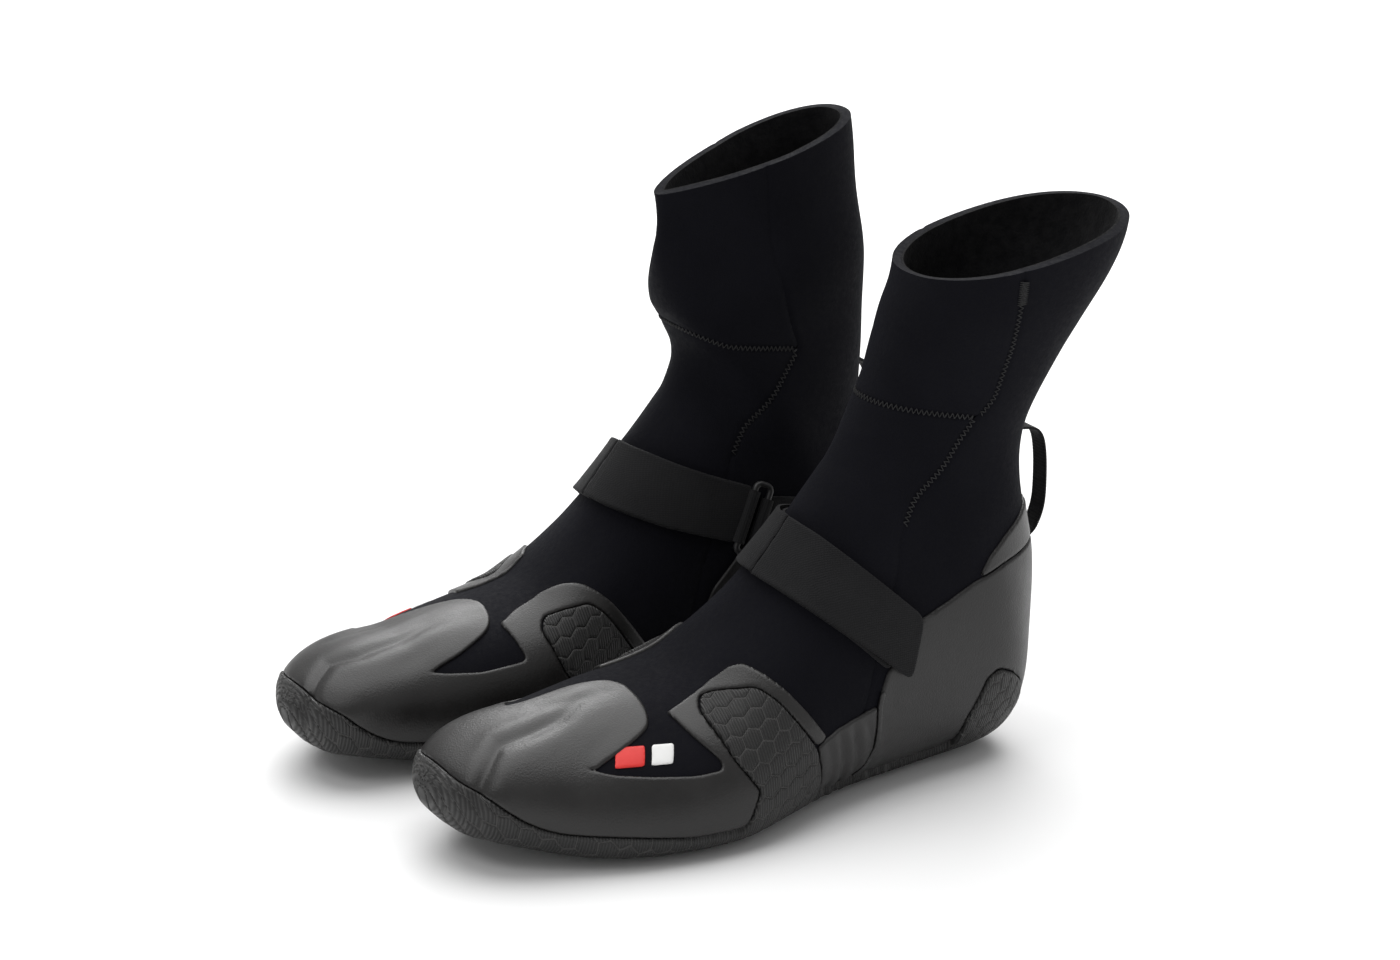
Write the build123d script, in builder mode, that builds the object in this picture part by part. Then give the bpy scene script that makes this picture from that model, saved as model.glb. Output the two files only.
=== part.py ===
from build123d import *
import math
import os

# Pair of round-toe neoprene water boots with a hidden split toe.
# Millimetres. Toes point along -Y, heels along +Y, +Z is up.
# The wearer's left boot stands on the +X side, the right boot on the -X side.

# ---- placing of the pair -------------------------------------------------
BOOT_SPACING = 118.0      # between the two boots' centre lines
LEFT_Y = -161.4           # row-frame Y of the left toe tip
RIGHT_Y = -176.4          # the right boot stands 15 mm further forward

# ---- layers, measured outwards from the face of the neoprene --------------
NEOPRENE = 4.0            # wall thickness of the neoprene
LINING = 0.95             # plush inner fabric
SEAT = 0.05               # glue line between two layers
OVERLAY = 1.35            # outer face of the smooth rubber overlay
SOLE_SIDE = 2.2           # outer face of the outsole on the side walls
SOLE_DROP = 5.4           # outsole thickness under the foot
INSOLE_TOP = 14.0         # height of the footbed's face
THREAD = 0.55             # outer face of the seam threads
EMBLEM = 0.75             # outer face of the plain printed marks

BASE_IN, BASE_OUT = 0.35, 1.45        # lower strap layer
LOOP_IN, LOOP_OUT = 1.5, 2.2          # loop pile sewn on it
HOOK_IN, HOOK_OUT = 2.6, 3.25         # hook pile under the free end
TAB_IN, TAB_OUT = 3.3, 4.4            # upper strap layer
STRAP_FOLD = 3.5          # where the free end folds back, over the instep's crown

# ---- strap ring and heel loop ----------------------------------------------
RING_WIRE = 1.5
RING_PITCH = 8.0          # between the ring's two long bars
RING_HALF = 16.6          # half length of a long bar
SLEEVE_IN, SLEEVE_OUT = 1.85, 2.95
SLEEVE_HALF = 13.0
RING_AXIS = (0.13, 0.44, 0.889)
RING_BAR = (-38.6, 219.9, 94.6)       # free bar, in the left boot's own frame
LOOP_WIDTH = 10.0
LOOP_THICK = 1.5
LOOP_FOOT = 304.0         # lower end's distance from the toe tip
LEFT_LOOP_TOP = 296.6     # upper ends, each clear of its own ankle
RIGHT_LOOP_TOP = 305.6

# ---- cross sections ----------------------------------------------------------
# Height of the widest point as a share of the section's height, then the
# exponents of the rounded outline below and above it (2 is an ellipse).
TOE = (0.44, 2.6, 2.4)
FOOT = (0.38, 3.4, 2.05)
MID = (0.40, 2.8, 1.8)
HEEL = (0.42, 2.6, 2.0)
LEG = (0.50, 2.1, 2.1)
PINCH = (0.40, 2.2, 1.45)
STEPS = 12                # points on each half of a section

# Each station: bottom (y, z), top (y, z), centre x, half width outer side,
# half width inner side, shape. y runs from the toe tip to the heel.
FOOT_STATIONS = [
    ((1.5, 25.5), (1.5, 30.5), -5.0, 7.0, 6.5, TOE),
    ((4.0, 21.5), (4.0, 35.5), -5.0, 17.0, 15.5, TOE),
    ((10.0, 17.5), (10.5, 41.0), -4.5, 26.5, 24.0, TOE),
    ((26.0, 12.5), (27.0, 50.0), -2.5, 37.0, 34.0, TOE),
    ((54.0, 7.0), (55.0, 58.5), -0.5, 46.5, 41.5, FOOT),
    ((88.0, 5.0), (88.0, 64.5), 2.0, 54.0, 48.0, FOOT),
    ((126.0, 5.0), (123.0, 74.0), 3.5, 54.0, 47.0, FOOT),
    ((168.0, 5.0), (156.0, 101.0), 4.0, 46.0, 40.0, MID),
    ((211.0, 5.0), (184.0, 128.0), 2.5, 42.0, 38.5, MID),
    ((252.0, 5.5), (201.0, 146.0), 1.0, 41.0, 38.5, HEEL),
    ((286.0, 13.0), (211.0, 160.0), 1.0, 39.5, 38.0, HEEL),
]
# The left shaft leans back and stands open.
LEFT_SHAFT = [
    ((299.0, 46.0), (218.0, 173.0), 1.0, 38.5, 37.5, LEG),
    ((300.0, 92.0), (222.0, 186.0), 1.0, 34.5, 33.5, LEG),
    ((292.5, 143.0), (225.0, 200.0), 2.0, 33.0, 32.0, LEG),
    ((315.0, 200.0), (229.0, 214.0), 6.0, 40.0, 38.0, LEG),
    ((338.5, 253.5), (232.5, 229.0), 10.0, 44.0, 43.0, LEG),
    ((346.0, 270.0), (234.0, 245.0), 11.0, 45.0, 44.0, LEG),
]
# The right shaft stands upright, pinched nearly flat at its front.
RIGHT_SHAFT = [
    ((299.0, 46.0), (216.0, 174.0), 1.0, 38.5, 37.5, LEG),
    ((301.0, 92.0), (211.0, 188.0), 1.0, 34.5, 33.5, LEG),
    ((303.0, 146.0), (205.0, 203.0), 1.0, 31.0, 30.0, LEG),
    ((304.0, 208.0), (200.5, 223.0), 1.0, 28.0, 27.0, PINCH),
    ((300.5, 273.0), (199.0, 243.0), 1.0, 27.0, 26.0, PINCH),
    ((299.5, 290.0), (198.5, 260.0), 1.0, 27.0, 26.0, PINCH),
]

# ---- outlines, seen from the side, (y from the toe tip, z) ---------------------
RAND = [(-20, 26), (0, 25), (13, 23), (30, 20), (57, 14), (95, 12), (121, 12)]
WING = [(126, 28), (118, 45), (114, 57), (126, 62), (138, 66), (150, 58), (162, 35), (166, 12)]
HEEL_LOBE = [(251, 12), (252, 38), (263, 49), (274, 45), (283, 36), (287, 20), (300, 14), (320, 14)]
SOLE_OUTLINE = RAND + WING + [(190, 10), (240, 10)] + HEEL_LOBE + [(320, 0), (-20, 0)]

OVERLAY_OUTLINE = [
    (-20, 26.4), (0, 25.4), (13, 23.4), (30, 20.4), (57, 14.4), (95, 12.4), (120.6, 12.4),
    (125.5, 28), (117.5, 45), (113.5, 57.4), (126, 62.5), (138, 66.6), (150.4, 58.4), (162.4, 36.2),
    (171, 38.2), (163, 51), (152, 64), (136, 71), (118, 66), (99, 60.5), (97.5, 57), (108, 42.5),
    (104, 40.5), (75, 41), (52, 44.5), (51, 46.5), (70, 53.5), (88, 58), (90.5, 61), (90, 80),
    (-20, 80),
]
SIDE_RAND = [(166.6, 12.4), (190.4, 10.4), (197.2, 27), (195.6, 43), (171, 37.6), (162.8, 35.6)]
COUNTER = [
    (191.2, 10.4), (240, 10.4), (250.5, 12.4), (251.5, 38.4), (262.8, 49.5), (274.2, 45.5),
    (283.4, 36.4), (287.4, 20.4), (300, 14.4), (320, 14.4), (320, 90), (285, 99), (251, 96),
    (222, 82.5), (205, 60), (202, 54), (200, 42), (198, 27),
]
HEEL_PATCH = [(253, 97.2), (285, 99.5), (320, 90.5), (320, 112), (296, 118), (284, 117), (268, 107)]
COUNTER_TAPE = [(191.8, 13), (198.6, 27), (200.6, 42), (202.4, 53)]

VAMP = [
    (-20, -20), (190, -20), (190, 45), (199, 72), (213, 104), (217, 119), (225, 134), (240, 151),
    (254, 168), (217, 174), (180, 190), (-20, 190),
]
VAMP_SPLIT = 118.0        # the vamp's join under the overlay, between toe box and instep
INSTEP_SEAM = [(190, 186), (217, 174), (254, 168), (240, 151), (225, 134), (217.5, 121)]

# Strap band: the outer half and the inner half meet over the instep.
STRAP_CROWN = [(140, 122), (158, 103)]
STRAP_CROWN_REAR = [(179, 125), (161, 143)]
STRAP_OUTER = STRAP_CROWN + [(185, 80), (214, 56), (222, 83), (200, 104)] + STRAP_CROWN_REAR
STRAP_INNER = STRAP_CROWN + [(184, 92), (211, 84), (223, 108), (202, 116)] + STRAP_CROWN_REAR
STRAP_INNER_LONG = STRAP_CROWN + [(184, 92), (213, 83), (225, 107), (202, 116)] + STRAP_CROWN_REAR
STRAP_BASE_OUTER = STRAP_CROWN + [(185, 80), (203.5, 62), (221, 83.5), (200, 104)] + STRAP_CROWN_REAR
LOOP_PILE = [(172, 93), (185, 82), (205, 65), (217.5, 84), (200, 101), (188, 113)]
HOOK_PILE = [(187, 80.5), (212.5, 59), (219.5, 83), (202, 99.5)]
KEEPER = [(223.5, 83.6), (232.2, 101.2), (252, 98.0), (248, 96.0), (229, 86.9)]

LEFT_COLLAR = [(180, 216.9), (232.5, 229), (338.5, 253.5), (370, 260.8)]
RIGHT_COLLAR = [(170, 234.4), (199, 243), (300.5, 273), (330, 281.7)]
LEFT_SHAFT_SEAM = [(266, 238), (266, 200), (262, 176), (256, 169)]
RIGHT_SHAFT_SEAM = [(237, 256), (243, 215), (250, 182), (254, 170)]

WIDE = 140.0


def half_section(station, grow, drop, way):
    """Points of one half of a section, bottom to top; way is 1 outer, -1 inner."""
    (yb, zb), (yt, zt), xc, outer, inner, (widest, low_power, high_power) = station
    length = math.hypot(yt - yb, zt - zb)
    uy, uz = (yt - yb) / length, (zt - zb) / length
    low = -grow - drop * max(uz, 0.0)
    high = length + grow
    reach = (outer if way > 0 else inner) + grow
    points = []
    for step in range(STEPS + 1):
        turn = math.pi * (step / STEPS - 0.5)
        power = 2 / (low_power if turn < 0 else high_power)
        across = max(math.cos(turn), 0.0) ** power
        rise = abs(math.sin(turn)) ** power
        share = widest - widest * rise if turn < 0 else widest + (1 - widest) * rise
        t = low + share * (high - low)
        points.append((xc + way * reach * across, yb + uy * t, zb + uz * t))
    return points


def form(stations, y0, grow, drop=0.0):
    """Solid boot form, its face standing grow outside the neoprene."""
    shares = [step / STEPS for step in range(STEPS + 1)]
    with BuildPart() as body:
        for number, station in enumerate(stations):
            if number == 0 and grow < -1.5:
                continue
            fall = drop if number < len(FOOT_STATIONS) else 0.0
            lead = grow * max(0.0, 1.0 - number / 3.0)
            halves = []
            for way in (1, -1):
                half = half_section(station, grow, fall, way)
                halves.append([Vector(BOOT_SPACING / 2 + x, y0 + y - lead, z) for x, y, z in half])
            bottom, top = halves[0][0], halves[0][-1]
            plane = Plane(origin=bottom, x_dir=(1, 0, 0), z_dir=Vector(1, 0, 0).cross(top - bottom))
            outer = [plane.to_local_coords(p) for p in halves[0]]
            inner = [plane.to_local_coords(p) for p in reversed(halves[1])]
            with BuildSketch(plane):
                with BuildLine():
                    add(Edge.make_spline(outer, parameters=shares))
                    add(Edge.make_spline(inner, parameters=shares))
                make_face()
        loft()
    return body.part


def prism(outline, x_low, x_high, y0):
    """Side outline carried across the boot between two x values."""
    with BuildPart() as block:
        with BuildSketch(Plane.YZ.offset(x_low)):
            with BuildLine():
                Polyline(*[(y0 + y, z) for y, z in outline], close=True)
            make_face()
        extrude(amount=x_high - x_low)
    return block.part


def ribbon(line, width, x_low, x_high, y0):
    """Narrow band along a side-view line, carried across the boot."""
    with BuildPart() as block:
        with BuildSketch(Plane.YZ.offset(x_low)):
            with BuildLine():
                Polyline(*[(y0 + y, z) for y, z in line])
            trace(line_width=width)
        extrude(amount=x_high - x_low)
    return block.part


def layer(outer, inner, *regions):
    """Wall between two forms, kept where the regions lie."""
    with BuildPart() as wall:
        add(outer)
        add(inner, mode=Mode.SUBTRACT)
        for region in regions:
            add(region, mode=Mode.INTERSECT)
    return wall.part


def union(*pieces):
    with BuildPart() as joined:
        for piece in pieces:
            add(piece)
    return joined.part


def save(piece, name):
    """Write one piece; a right boot's piece is mirrored to its own side first."""
    with BuildPart() as node:
        add(piece)
        if name.startswith("right"):
            mirror(about=Plane.YZ, mode=Mode.REPLACE)
    solids = node.part.solids()
    if len(solids) > 1 or node.part.volume <= 0:
        print("look at", name, [round(s.volume, 1) for s in solids])
    node.part.label = name
    export_step(node.part, "parts/" + name + ".step")
    print(name, round(node.part.volume, 1))


def make_boot(tag, y0, shaft, collar, shaft_seam, loop_top):
    stations = FOOT_STATIONS + shaft
    x0 = BOOT_SPACING / 2

    def grown(amount, drop=0.0):
        return form(stations, y0, amount, drop)

    def cut(outline, low=-WIDE / 2, high=WIDE / 2):
        return prism(outline, x0 + low, x0 + high, y0)

    skin = grown(0.0)
    inner_skin = grown(-NEOPRENE)
    lining_out = grown(-NEOPRENE - SEAT)
    lining_in = grown(-NEOPRENE - SEAT - LINING)
    seat = grown(SEAT)
    overlay = grown(OVERLAY)
    sole = grown(SOLE_SIDE, SOLE_DROP - SOLE_SIDE)

    # neoprene panels
    def collar_z(y):
        (ya, za), (yb, zb) = collar[0], collar[-1]
        return za + (zb - za) * (y - ya) / (yb - ya)

    seam_y = shaft_seam[0][0]
    upper_seam = [(y, z) for y, z in reversed(shaft_seam) if z < collar_z(y) - 3]
    front_outline = [(150, 200.4), (180, 190.4), (217, 174.4), (253, 168.7)]
    front_outline += [(y - 0.2, z) for y, z in upper_seam]
    front_outline += [(seam_y - 0.2, collar_z(seam_y)), (150, collar_z(150))]
    rear_outline = [(y + 0.2, z - 0.2) for y, z in VAMP[1:9]]
    rear_outline += [(y + 0.2, z) for y, z in upper_seam]
    rear_outline += [(seam_y + 0.2, collar_z(seam_y)), (380, collar_z(380)), (380, -20)]
    all_outline = [(-20, -20), (-20, 120), (150, collar_z(150)), (380, collar_z(380)), (380, -20)]
    toe_outline = [(-20, -20), (VAMP_SPLIT, -20), (VAMP_SPLIT, 190), (-20, 190)]
    instep_outline = [(VAMP_SPLIT + 0.2, -20)] + [(y - 0.2, z) for y, z in VAMP[1:-1]]
    instep_outline += [(VAMP_SPLIT + 0.2, 190)]

    save(layer(skin, inner_skin, cut(toe_outline)), tag + "_vamp_panel")
    save(layer(skin, inner_skin, cut(instep_outline)), tag + "_instep_panel")
    save(layer(skin, inner_skin, cut(front_outline)), tag + "_shaft_front_panel")
    save(layer(skin, inner_skin, cut(rear_outline)), tag + "_rear_panel")
    save(layer(lining_out, lining_in, cut(all_outline)), tag + "_lining")

    # footbed and the divider that parts the big toe from the others
    bed_form = grown(-NEOPRENE - LINING - 2 * SEAT - 0.1)
    bed_outline = [(-20, -20), (380, -20), (380, INSOLE_TOP), (70, INSOLE_TOP), (12, 24), (-20, 26)]
    with BuildPart() as bed:
        add(bed_form)
        add(cut(bed_outline), mode=Mode.INTERSECT)
    save(bed.part, tag + "_insole")
    wall_outline = [(8, 25), (12, 24.2), (70, INSOLE_TOP + 0.2), (66, 40), (58, 70), (8, 70)]
    with BuildPart() as divider:
        add(bed_form)
        add(cut(wall_outline, -17.0, -13.0), mode=Mode.INTERSECT)
    save(divider.part, tag + "_toe_divider")

    # rubber: outsole, overlay, side rands, heel counter and heel patch
    save(layer(sole, seat, cut(SOLE_OUTLINE)), tag + "_outsole")
    save(layer(overlay, seat, cut(OVERLAY_OUTLINE)), tag + "_toe_overlay")
    save(layer(overlay, seat, cut(SIDE_RAND, 0, WIDE / 2)), tag + "_side_rand_outer")
    save(layer(overlay, seat, cut(SIDE_RAND, -WIDE / 2, 0)), tag + "_side_rand_inner")
    save(layer(overlay, seat, cut(COUNTER)), tag + "_heel_counter")
    save(layer(overlay, seat, cut(HEEL_PATCH)), tag + "_heel_patch")

    # seam threads and the tape over the counter's front edge
    thread = grown(THREAD)
    across = (x0 - WIDE / 2, x0 + WIDE / 2)
    save(layer(thread, seat, ribbon(INSTEP_SEAM, 1.8, *across, y0)), tag + "_instep_seam")
    outer_half = (x0, x0 + WIDE / 2)
    seam_line = [(y, z) for y, z in shaft_seam if z > 176]
    save(layer(thread, seat, ribbon(seam_line, 1.8, *outer_half, y0)), tag + "_shaft_seam")
    tape_in = grown(OVERLAY + SEAT)
    tape_out = grown(OVERLAY + SEAT + 0.4)
    save(layer(tape_out, tape_in, ribbon(COUNTER_TAPE, 2.4, *outer_half, y0)), tag + "_counter_tape")

    # plain two-colour mark in the outer window of the overlay
    mark = grown(EMBLEM)
    red_mark = [(68, 44), (72, 50), (84, 50), (80, 44)]
    white_mark = [(83, 44), (87, 50), (96, 50), (92, 44)]
    save(layer(mark, seat, cut(red_mark, 0, WIDE / 2)), tag + "_emblem_red")
    save(layer(mark, seat, cut(white_mark, 0, WIDE / 2)), tag + "_emblem_white")

    # small folded tab bar-tacked where the shaft seam meets the collar
    tab_y = seam_y
    tab_z = collar_z(tab_y)
    tab_outline = [(tab_y - 4, tab_z - 15), (tab_y + 4, tab_z - 15), (tab_y + 4, tab_z - 4),
                   (tab_y - 4, tab_z - 4)]
    save(layer(grown(1.5), grown(THREAD + SEAT), cut(tab_outline, 0, WIDE / 2)), tag + "_collar_tab")

    # instep strap, lower layer with its loop pile
    base_regions = union(cut(STRAP_BASE_OUTER, 0, WIDE / 2), cut(STRAP_INNER, -WIDE / 2, 0))
    save(layer(grown(BASE_OUT), grown(BASE_IN), base_regions), tag + "_strap_base")
    save(layer(grown(LOOP_OUT), grown(LOOP_IN), cut(LOOP_PILE, 0, WIDE / 2)), tag + "_loop_pile")

    # upper layer: the free end that peels, and the return from the ring to the fold
    axis = Vector(*RING_AXIS).normalized()
    free_bar = Vector(x0 + RING_BAR[0], y0 + RING_BAR[1], RING_BAR[2])
    step = Vector(-0.12, 0.886, -0.42)
    step = (step - axis * step.dot(axis)).normalized()
    fixed_bar = free_bar + step * RING_PITCH
    free_plane = Plane(origin=free_bar, x_dir=step, z_dir=axis)
    fixed_plane = Plane(origin=fixed_bar, x_dir=step, z_dir=axis)
    upper_out, upper_in = grown(TAB_OUT), grown(TAB_IN)
    free_region = cut(STRAP_OUTER, STRAP_FOLD + 0.2, WIDE / 2)
    save(layer(upper_out, upper_in, free_region), tag + "_strap_tab")
    with BuildPart() as strap_return:
        add(layer(upper_out, upper_in, cut(STRAP_INNER_LONG, -WIDE / 2, STRAP_FOLD - 0.2)))
        with BuildSketch(free_plane.offset(-SLEEVE_HALF)):
            Circle(SLEEVE_OUT)
        extrude(amount=2 * SLEEVE_HALF)
        with BuildSketch(free_plane.offset(-SLEEVE_HALF - 4)):
            Circle(SLEEVE_IN)
        extrude(amount=2 * SLEEVE_HALF + 8, mode=Mode.SUBTRACT)
    save(strap_return.part, tag + "_strap_return")
    save(layer(grown(HOOK_OUT), grown(HOOK_IN), cut(HOOK_PILE, 0, WIDE / 2)), tag + "_hook_pile")

    # rectangular wire ring, and the keeper webbing that holds it
    middle = (free_bar + fixed_bar) * 0.5
    ring_plane = Plane(origin=middle, x_dir=step, z_dir=step.cross(axis))
    with BuildPart() as ring:
        with BuildLine(ring_plane) as loop_line:
            corners = [
                (-RING_PITCH / 2, -RING_HALF), (RING_PITCH / 2, -RING_HALF),
                (RING_PITCH / 2, RING_HALF), (-RING_PITCH / 2, RING_HALF),
            ]
            FilletPolyline(*corners, radius=2.6, close=True)
        start = loop_line.wire()
        with BuildSketch(Plane(origin=start @ 0, z_dir=start % 0)):
            Circle(RING_WIRE)
        sweep(path=start)
    save(ring.part, tag + "_strap_ring")
    with BuildPart() as keeper:
        add(layer(grown(BASE_OUT), grown(BASE_IN), cut(KEEPER, -WIDE / 2, 0)))
        with BuildSketch(fixed_plane.offset(-SLEEVE_HALF + 2)):
            Circle(SLEEVE_OUT)
        extrude(amount=2 * SLEEVE_HALF - 4)
        with BuildSketch(fixed_plane.offset(-SLEEVE_HALF - 4)):
            Circle(SLEEVE_IN)
        extrude(amount=2 * SLEEVE_HALF + 8, mode=Mode.SUBTRACT)
    save(keeper.part, tag + "_ring_keeper")

    # heel pull loop, both ends on the centre line of the heel
    with BuildPart() as pull:
        with BuildSketch(Plane.YZ.offset(x0 - LOOP_WIDTH / 2)):
            with BuildLine():
                Spline(
                    (y0 + loop_top, 147), (y0 + 309, 143.5), (y0 + 313.2, 132),
                    (y0 + 313.6, 110), (y0 + 309.5, 98), (y0 + LOOP_FOOT, 93),
                )
            trace(line_width=LOOP_THICK)
        extrude(amount=LOOP_WIDTH)
    save(pull.part, tag + "_pull_loop")


os.makedirs("parts", exist_ok=True)
make_boot("left", LEFT_Y, LEFT_SHAFT, LEFT_COLLAR, LEFT_SHAFT_SEAM, LEFT_LOOP_TOP)
make_boot("right", RIGHT_Y, RIGHT_SHAFT, RIGHT_COLLAR, RIGHT_SHAFT_SEAM, RIGHT_LOOP_TOP)
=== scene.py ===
import math
import bmesh
import bpy
import numpy as np
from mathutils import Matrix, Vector
from mathutils.bvhtree import BVHTree


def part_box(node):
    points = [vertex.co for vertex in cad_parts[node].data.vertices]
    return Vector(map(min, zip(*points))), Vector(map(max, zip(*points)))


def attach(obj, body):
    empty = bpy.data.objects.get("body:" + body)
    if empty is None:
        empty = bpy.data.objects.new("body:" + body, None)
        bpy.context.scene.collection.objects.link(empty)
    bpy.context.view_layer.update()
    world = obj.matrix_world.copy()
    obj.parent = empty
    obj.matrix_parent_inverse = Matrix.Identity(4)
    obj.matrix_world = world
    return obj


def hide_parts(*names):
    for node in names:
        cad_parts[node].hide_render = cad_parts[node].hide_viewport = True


# ---- camera ------------------------------------------------------------------
camera = bpy.data.objects.new("camera", bpy.data.cameras.new("camera"))
bpy.context.scene.collection.objects.link(camera)
bpy.context.scene.camera = camera
camera.data.sensor_width = 36.0
camera.data.lens = 96.98
CAMERA_AT = Vector((1.3842, -0.8039, 0.7010))
CAMERA_TO = Vector((0.0846, -0.0429, 0.1608))
camera.location = CAMERA_AT
camera.rotation_euler = (CAMERA_TO - CAMERA_AT).to_track_quat("-Z", "Y").to_euler()
camera.data.clip_start, camera.data.clip_end = 0.05, 50.0

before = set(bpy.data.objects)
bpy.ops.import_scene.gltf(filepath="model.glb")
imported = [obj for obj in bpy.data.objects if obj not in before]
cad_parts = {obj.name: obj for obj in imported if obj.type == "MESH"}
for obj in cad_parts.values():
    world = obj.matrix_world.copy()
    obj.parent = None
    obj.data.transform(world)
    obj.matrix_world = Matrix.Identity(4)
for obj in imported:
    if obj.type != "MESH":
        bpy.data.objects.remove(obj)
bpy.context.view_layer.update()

MM = 0.001
HALF_SPACING = 59.0       # mm from the pair's middle to each boot's centre line
TOE_SETBACK = 1.5         # mm from the toe tip to the first closed section
SHARP_ANGLE = math.radians(50)
FAN_Y = 150.0             # where the fan of section planes turns from foot to shaft

# Boot-local millimetres: a outwards from the centre line, y from the toe tip
# to the heel, z up. Outlines are side views, (y, z).
RAND = [
    (-20, 60), (4, 48), (6.5, 41.5), (10, 39.5), (15, 36.6), (20, 32), (26, 27.6), (33, 23.7),
    (41, 20.9), (53, 18.8), (70, 16.8), (95, 13.6), (121, 13),
]
WING = [
    (128, 28), (118.5, 42), (113.5, 57.5), (117.5, 61.5), (128, 63.8), (139, 65.4), (145, 60.5),
    (160, 38), (166, 12),
]
HEEL_LOBE = [
    (250, 12), (251.5, 27), (256, 37), (260, 45.5), (266, 48.3), (275, 44), (283, 36), (287, 20),
    (300, 14), (320, 14),
]
SOLE = RAND + WING + [(190, 10), (240, 10)] + HEEL_LOBE + [(320, -30), (-20, -30)]

# The overlay: rand line, cut-out for the sole's wing, the rubber wing round it, the
# window of the outer or the inner side, and the toe cap up to the window's tip.
OVERLAY_FRONT = [
    (-20, 60), (4.2, 48.2), (6.7, 41.7), (10.2, 39.7), (15.2, 36.8), (20.2, 32.2), (26.2, 27.8),
    (33.2, 23.9), (41.2, 21.1), (53, 19), (70, 17), (95, 13.8), (120.6, 13.2), (127.6, 28),
    (118.1, 42), (113.1, 57.7), (117.3, 61.9), (128, 64.2), (139.2, 65.8), (145.4, 60.8),
    (160.6, 38.9), (166.9, 41.2), (157, 55.2), (150, 64.6), (144.5, 70), (139.5, 73), (134, 72.8),
    (124, 69), (108, 64.5), (99.5, 61.2),
]
OUTER_WINDOW = [
    (99, 60.5), (101, 57.8), (105, 51.5), (112.5, 43), (112, 39.4), (99.9, 38.8), (82.7, 40.1),
    (66.7, 41.8), (56, 44.6), (53, 46.5), (46, 53), (44, 80), (-20, 80),
]
INNER_WINDOW = [
    (98, 60.3), (99.6, 57.5), (101.5, 50.5), (100.5, 48.6), (79, 47), (63.5, 48), (56, 49.3),
    (53, 51), (46, 56), (44, 80), (-20, 80),
]
# The overlay's tongue over the toes, seen from above, (a, y).
TONGUES = {
    "left": [(45, 40), (39, 53), (37, 63), (35.8, 73), (33.3, 84), (30, 91), (19.3, 94.5), (1, 95),
             (-8, 90.5), (-14.3, 78), (-15.5, 60), (-16.5, 48), (-24, 38)],
    "right": [(-42, 40), (-36.5, 52), (-34, 62), (-32.6, 74), (-27, 90), (-20, 95.5), (-10, 98.5),
              (1, 99), (9, 94.5), (14.6, 84), (17, 66), (17.5, 50), (24, 38)],
}
SIDE_RAND = [(166.6, 12.4), (190.4, 10.4), (196.3, 27), (196.8, 47), (174, 42.9), (161.4, 38.3)]
COUNTER = [
    (191.2, 10.4), (240, 10.4), (249.6, 12.2), (251.1, 27.2), (255.6, 37.3), (259.7, 46),
    (266, 48.8), (275.4, 44.4), (283.4, 36.3), (287.4, 20.4), (300, 14.4), (330, 14.4), (330, 96),
    (292, 101.5), (268, 98.6), (251.5, 93.4), (239, 87.6), (222, 81.5), (203, 61), (199.5, 53),
    (197.6, 47), (197.1, 27),
]
HEEL_PATCH = [
    (253.5, 95), (268, 99.1), (292, 102), (330, 96.5), (330, 119), (296, 120), (284, 118.5),
    (269, 111.5), (259.5, 104.5),
]
COUNTER_TAPE = [(191.8, 13), (197.7, 27), (198.2, 47), (199.6, 52)]
VAMP = [
    (-20, -20), (190, -20), (190, 45), (199, 72), (213, 104), (217, 119), (225, 134), (240, 151),
    (254, 168), (217, 174), (180, 190), (-20, 190),
]
INSTEP_SEAM = [(190, 186), (217, 174), (254, 168), (240, 151), (225, 134), (217.5, 121)]
STRAP_CROWN = [(140, 122), (158, 103)]
STRAP_REAR = [(179, 125), (161, 143)]
STRAP_OUTER = STRAP_CROWN + [(185, 80), (214, 56), (222, 83), (200, 104)] + STRAP_REAR
STRAP_INNER = STRAP_CROWN + [(184, 92), (211, 84), (223, 108), (202, 116)] + STRAP_REAR
STRAP_INNER_LONG = STRAP_CROWN + [(184, 92), (213, 83), (225, 107), (202, 116)] + STRAP_REAR
STRAP_BASE = STRAP_CROWN + [(185, 80), (203.5, 62), (221, 83.5), (200, 104)] + STRAP_REAR
LOOP_PILE = [(172, 93), (185, 82), (205, 65), (217.5, 84), (200, 101), (188, 113)]
HOOK_PILE = [(187, 80.5), (212.5, 59), (219.5, 83), (202, 99.5)]
KEEPER = [(223.5, 83.6), (232.2, 101.2), (252, 98), (248, 96), (229, 86.9)]
# How the worn skin sits off the plain form. Each row of the foot's table: y, how far
# its low and its top edge go up, the same two outwards, and its width's factor.
FOOT_SETTLE = [
    (0, 3.2, 5.0, 0, 0, 1.05), (4, 3.0, 5.5, 0, 0, 1.06), (10, 2.5, 4.8, 0.3, -0.5, 1.06),
    (27, 2.0, 2.4, 1.0, -2.5, 1.04), (55, 1.0, -1.2, 3.4, -5.5, 1.02), (88, 0, -2.7, 4.9, -8, 1.03),
    (124, 0, -4.8, 5.2, -8.5, 1.05), (157, 0, -3.0, 3.3, -5, 1.05), (183, 0, 1.2, 1.0, -1.5, 1.02),
    (205, 0, 0, 0, 0, 1.0),
]
FOOT_LOW = [(0, 26), (4, 21.5), (10, 17.5), (26, 12.5), (54, 7), (88, 5)]
FOOT_TOP = [(0, 28), (1.5, 30.5), (4, 35.5), (10.5, 41), (27, 50), (55, 58.5), (88, 64.5),
            (123, 74), (156, 101), (184, 128), (201, 146)]
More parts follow.
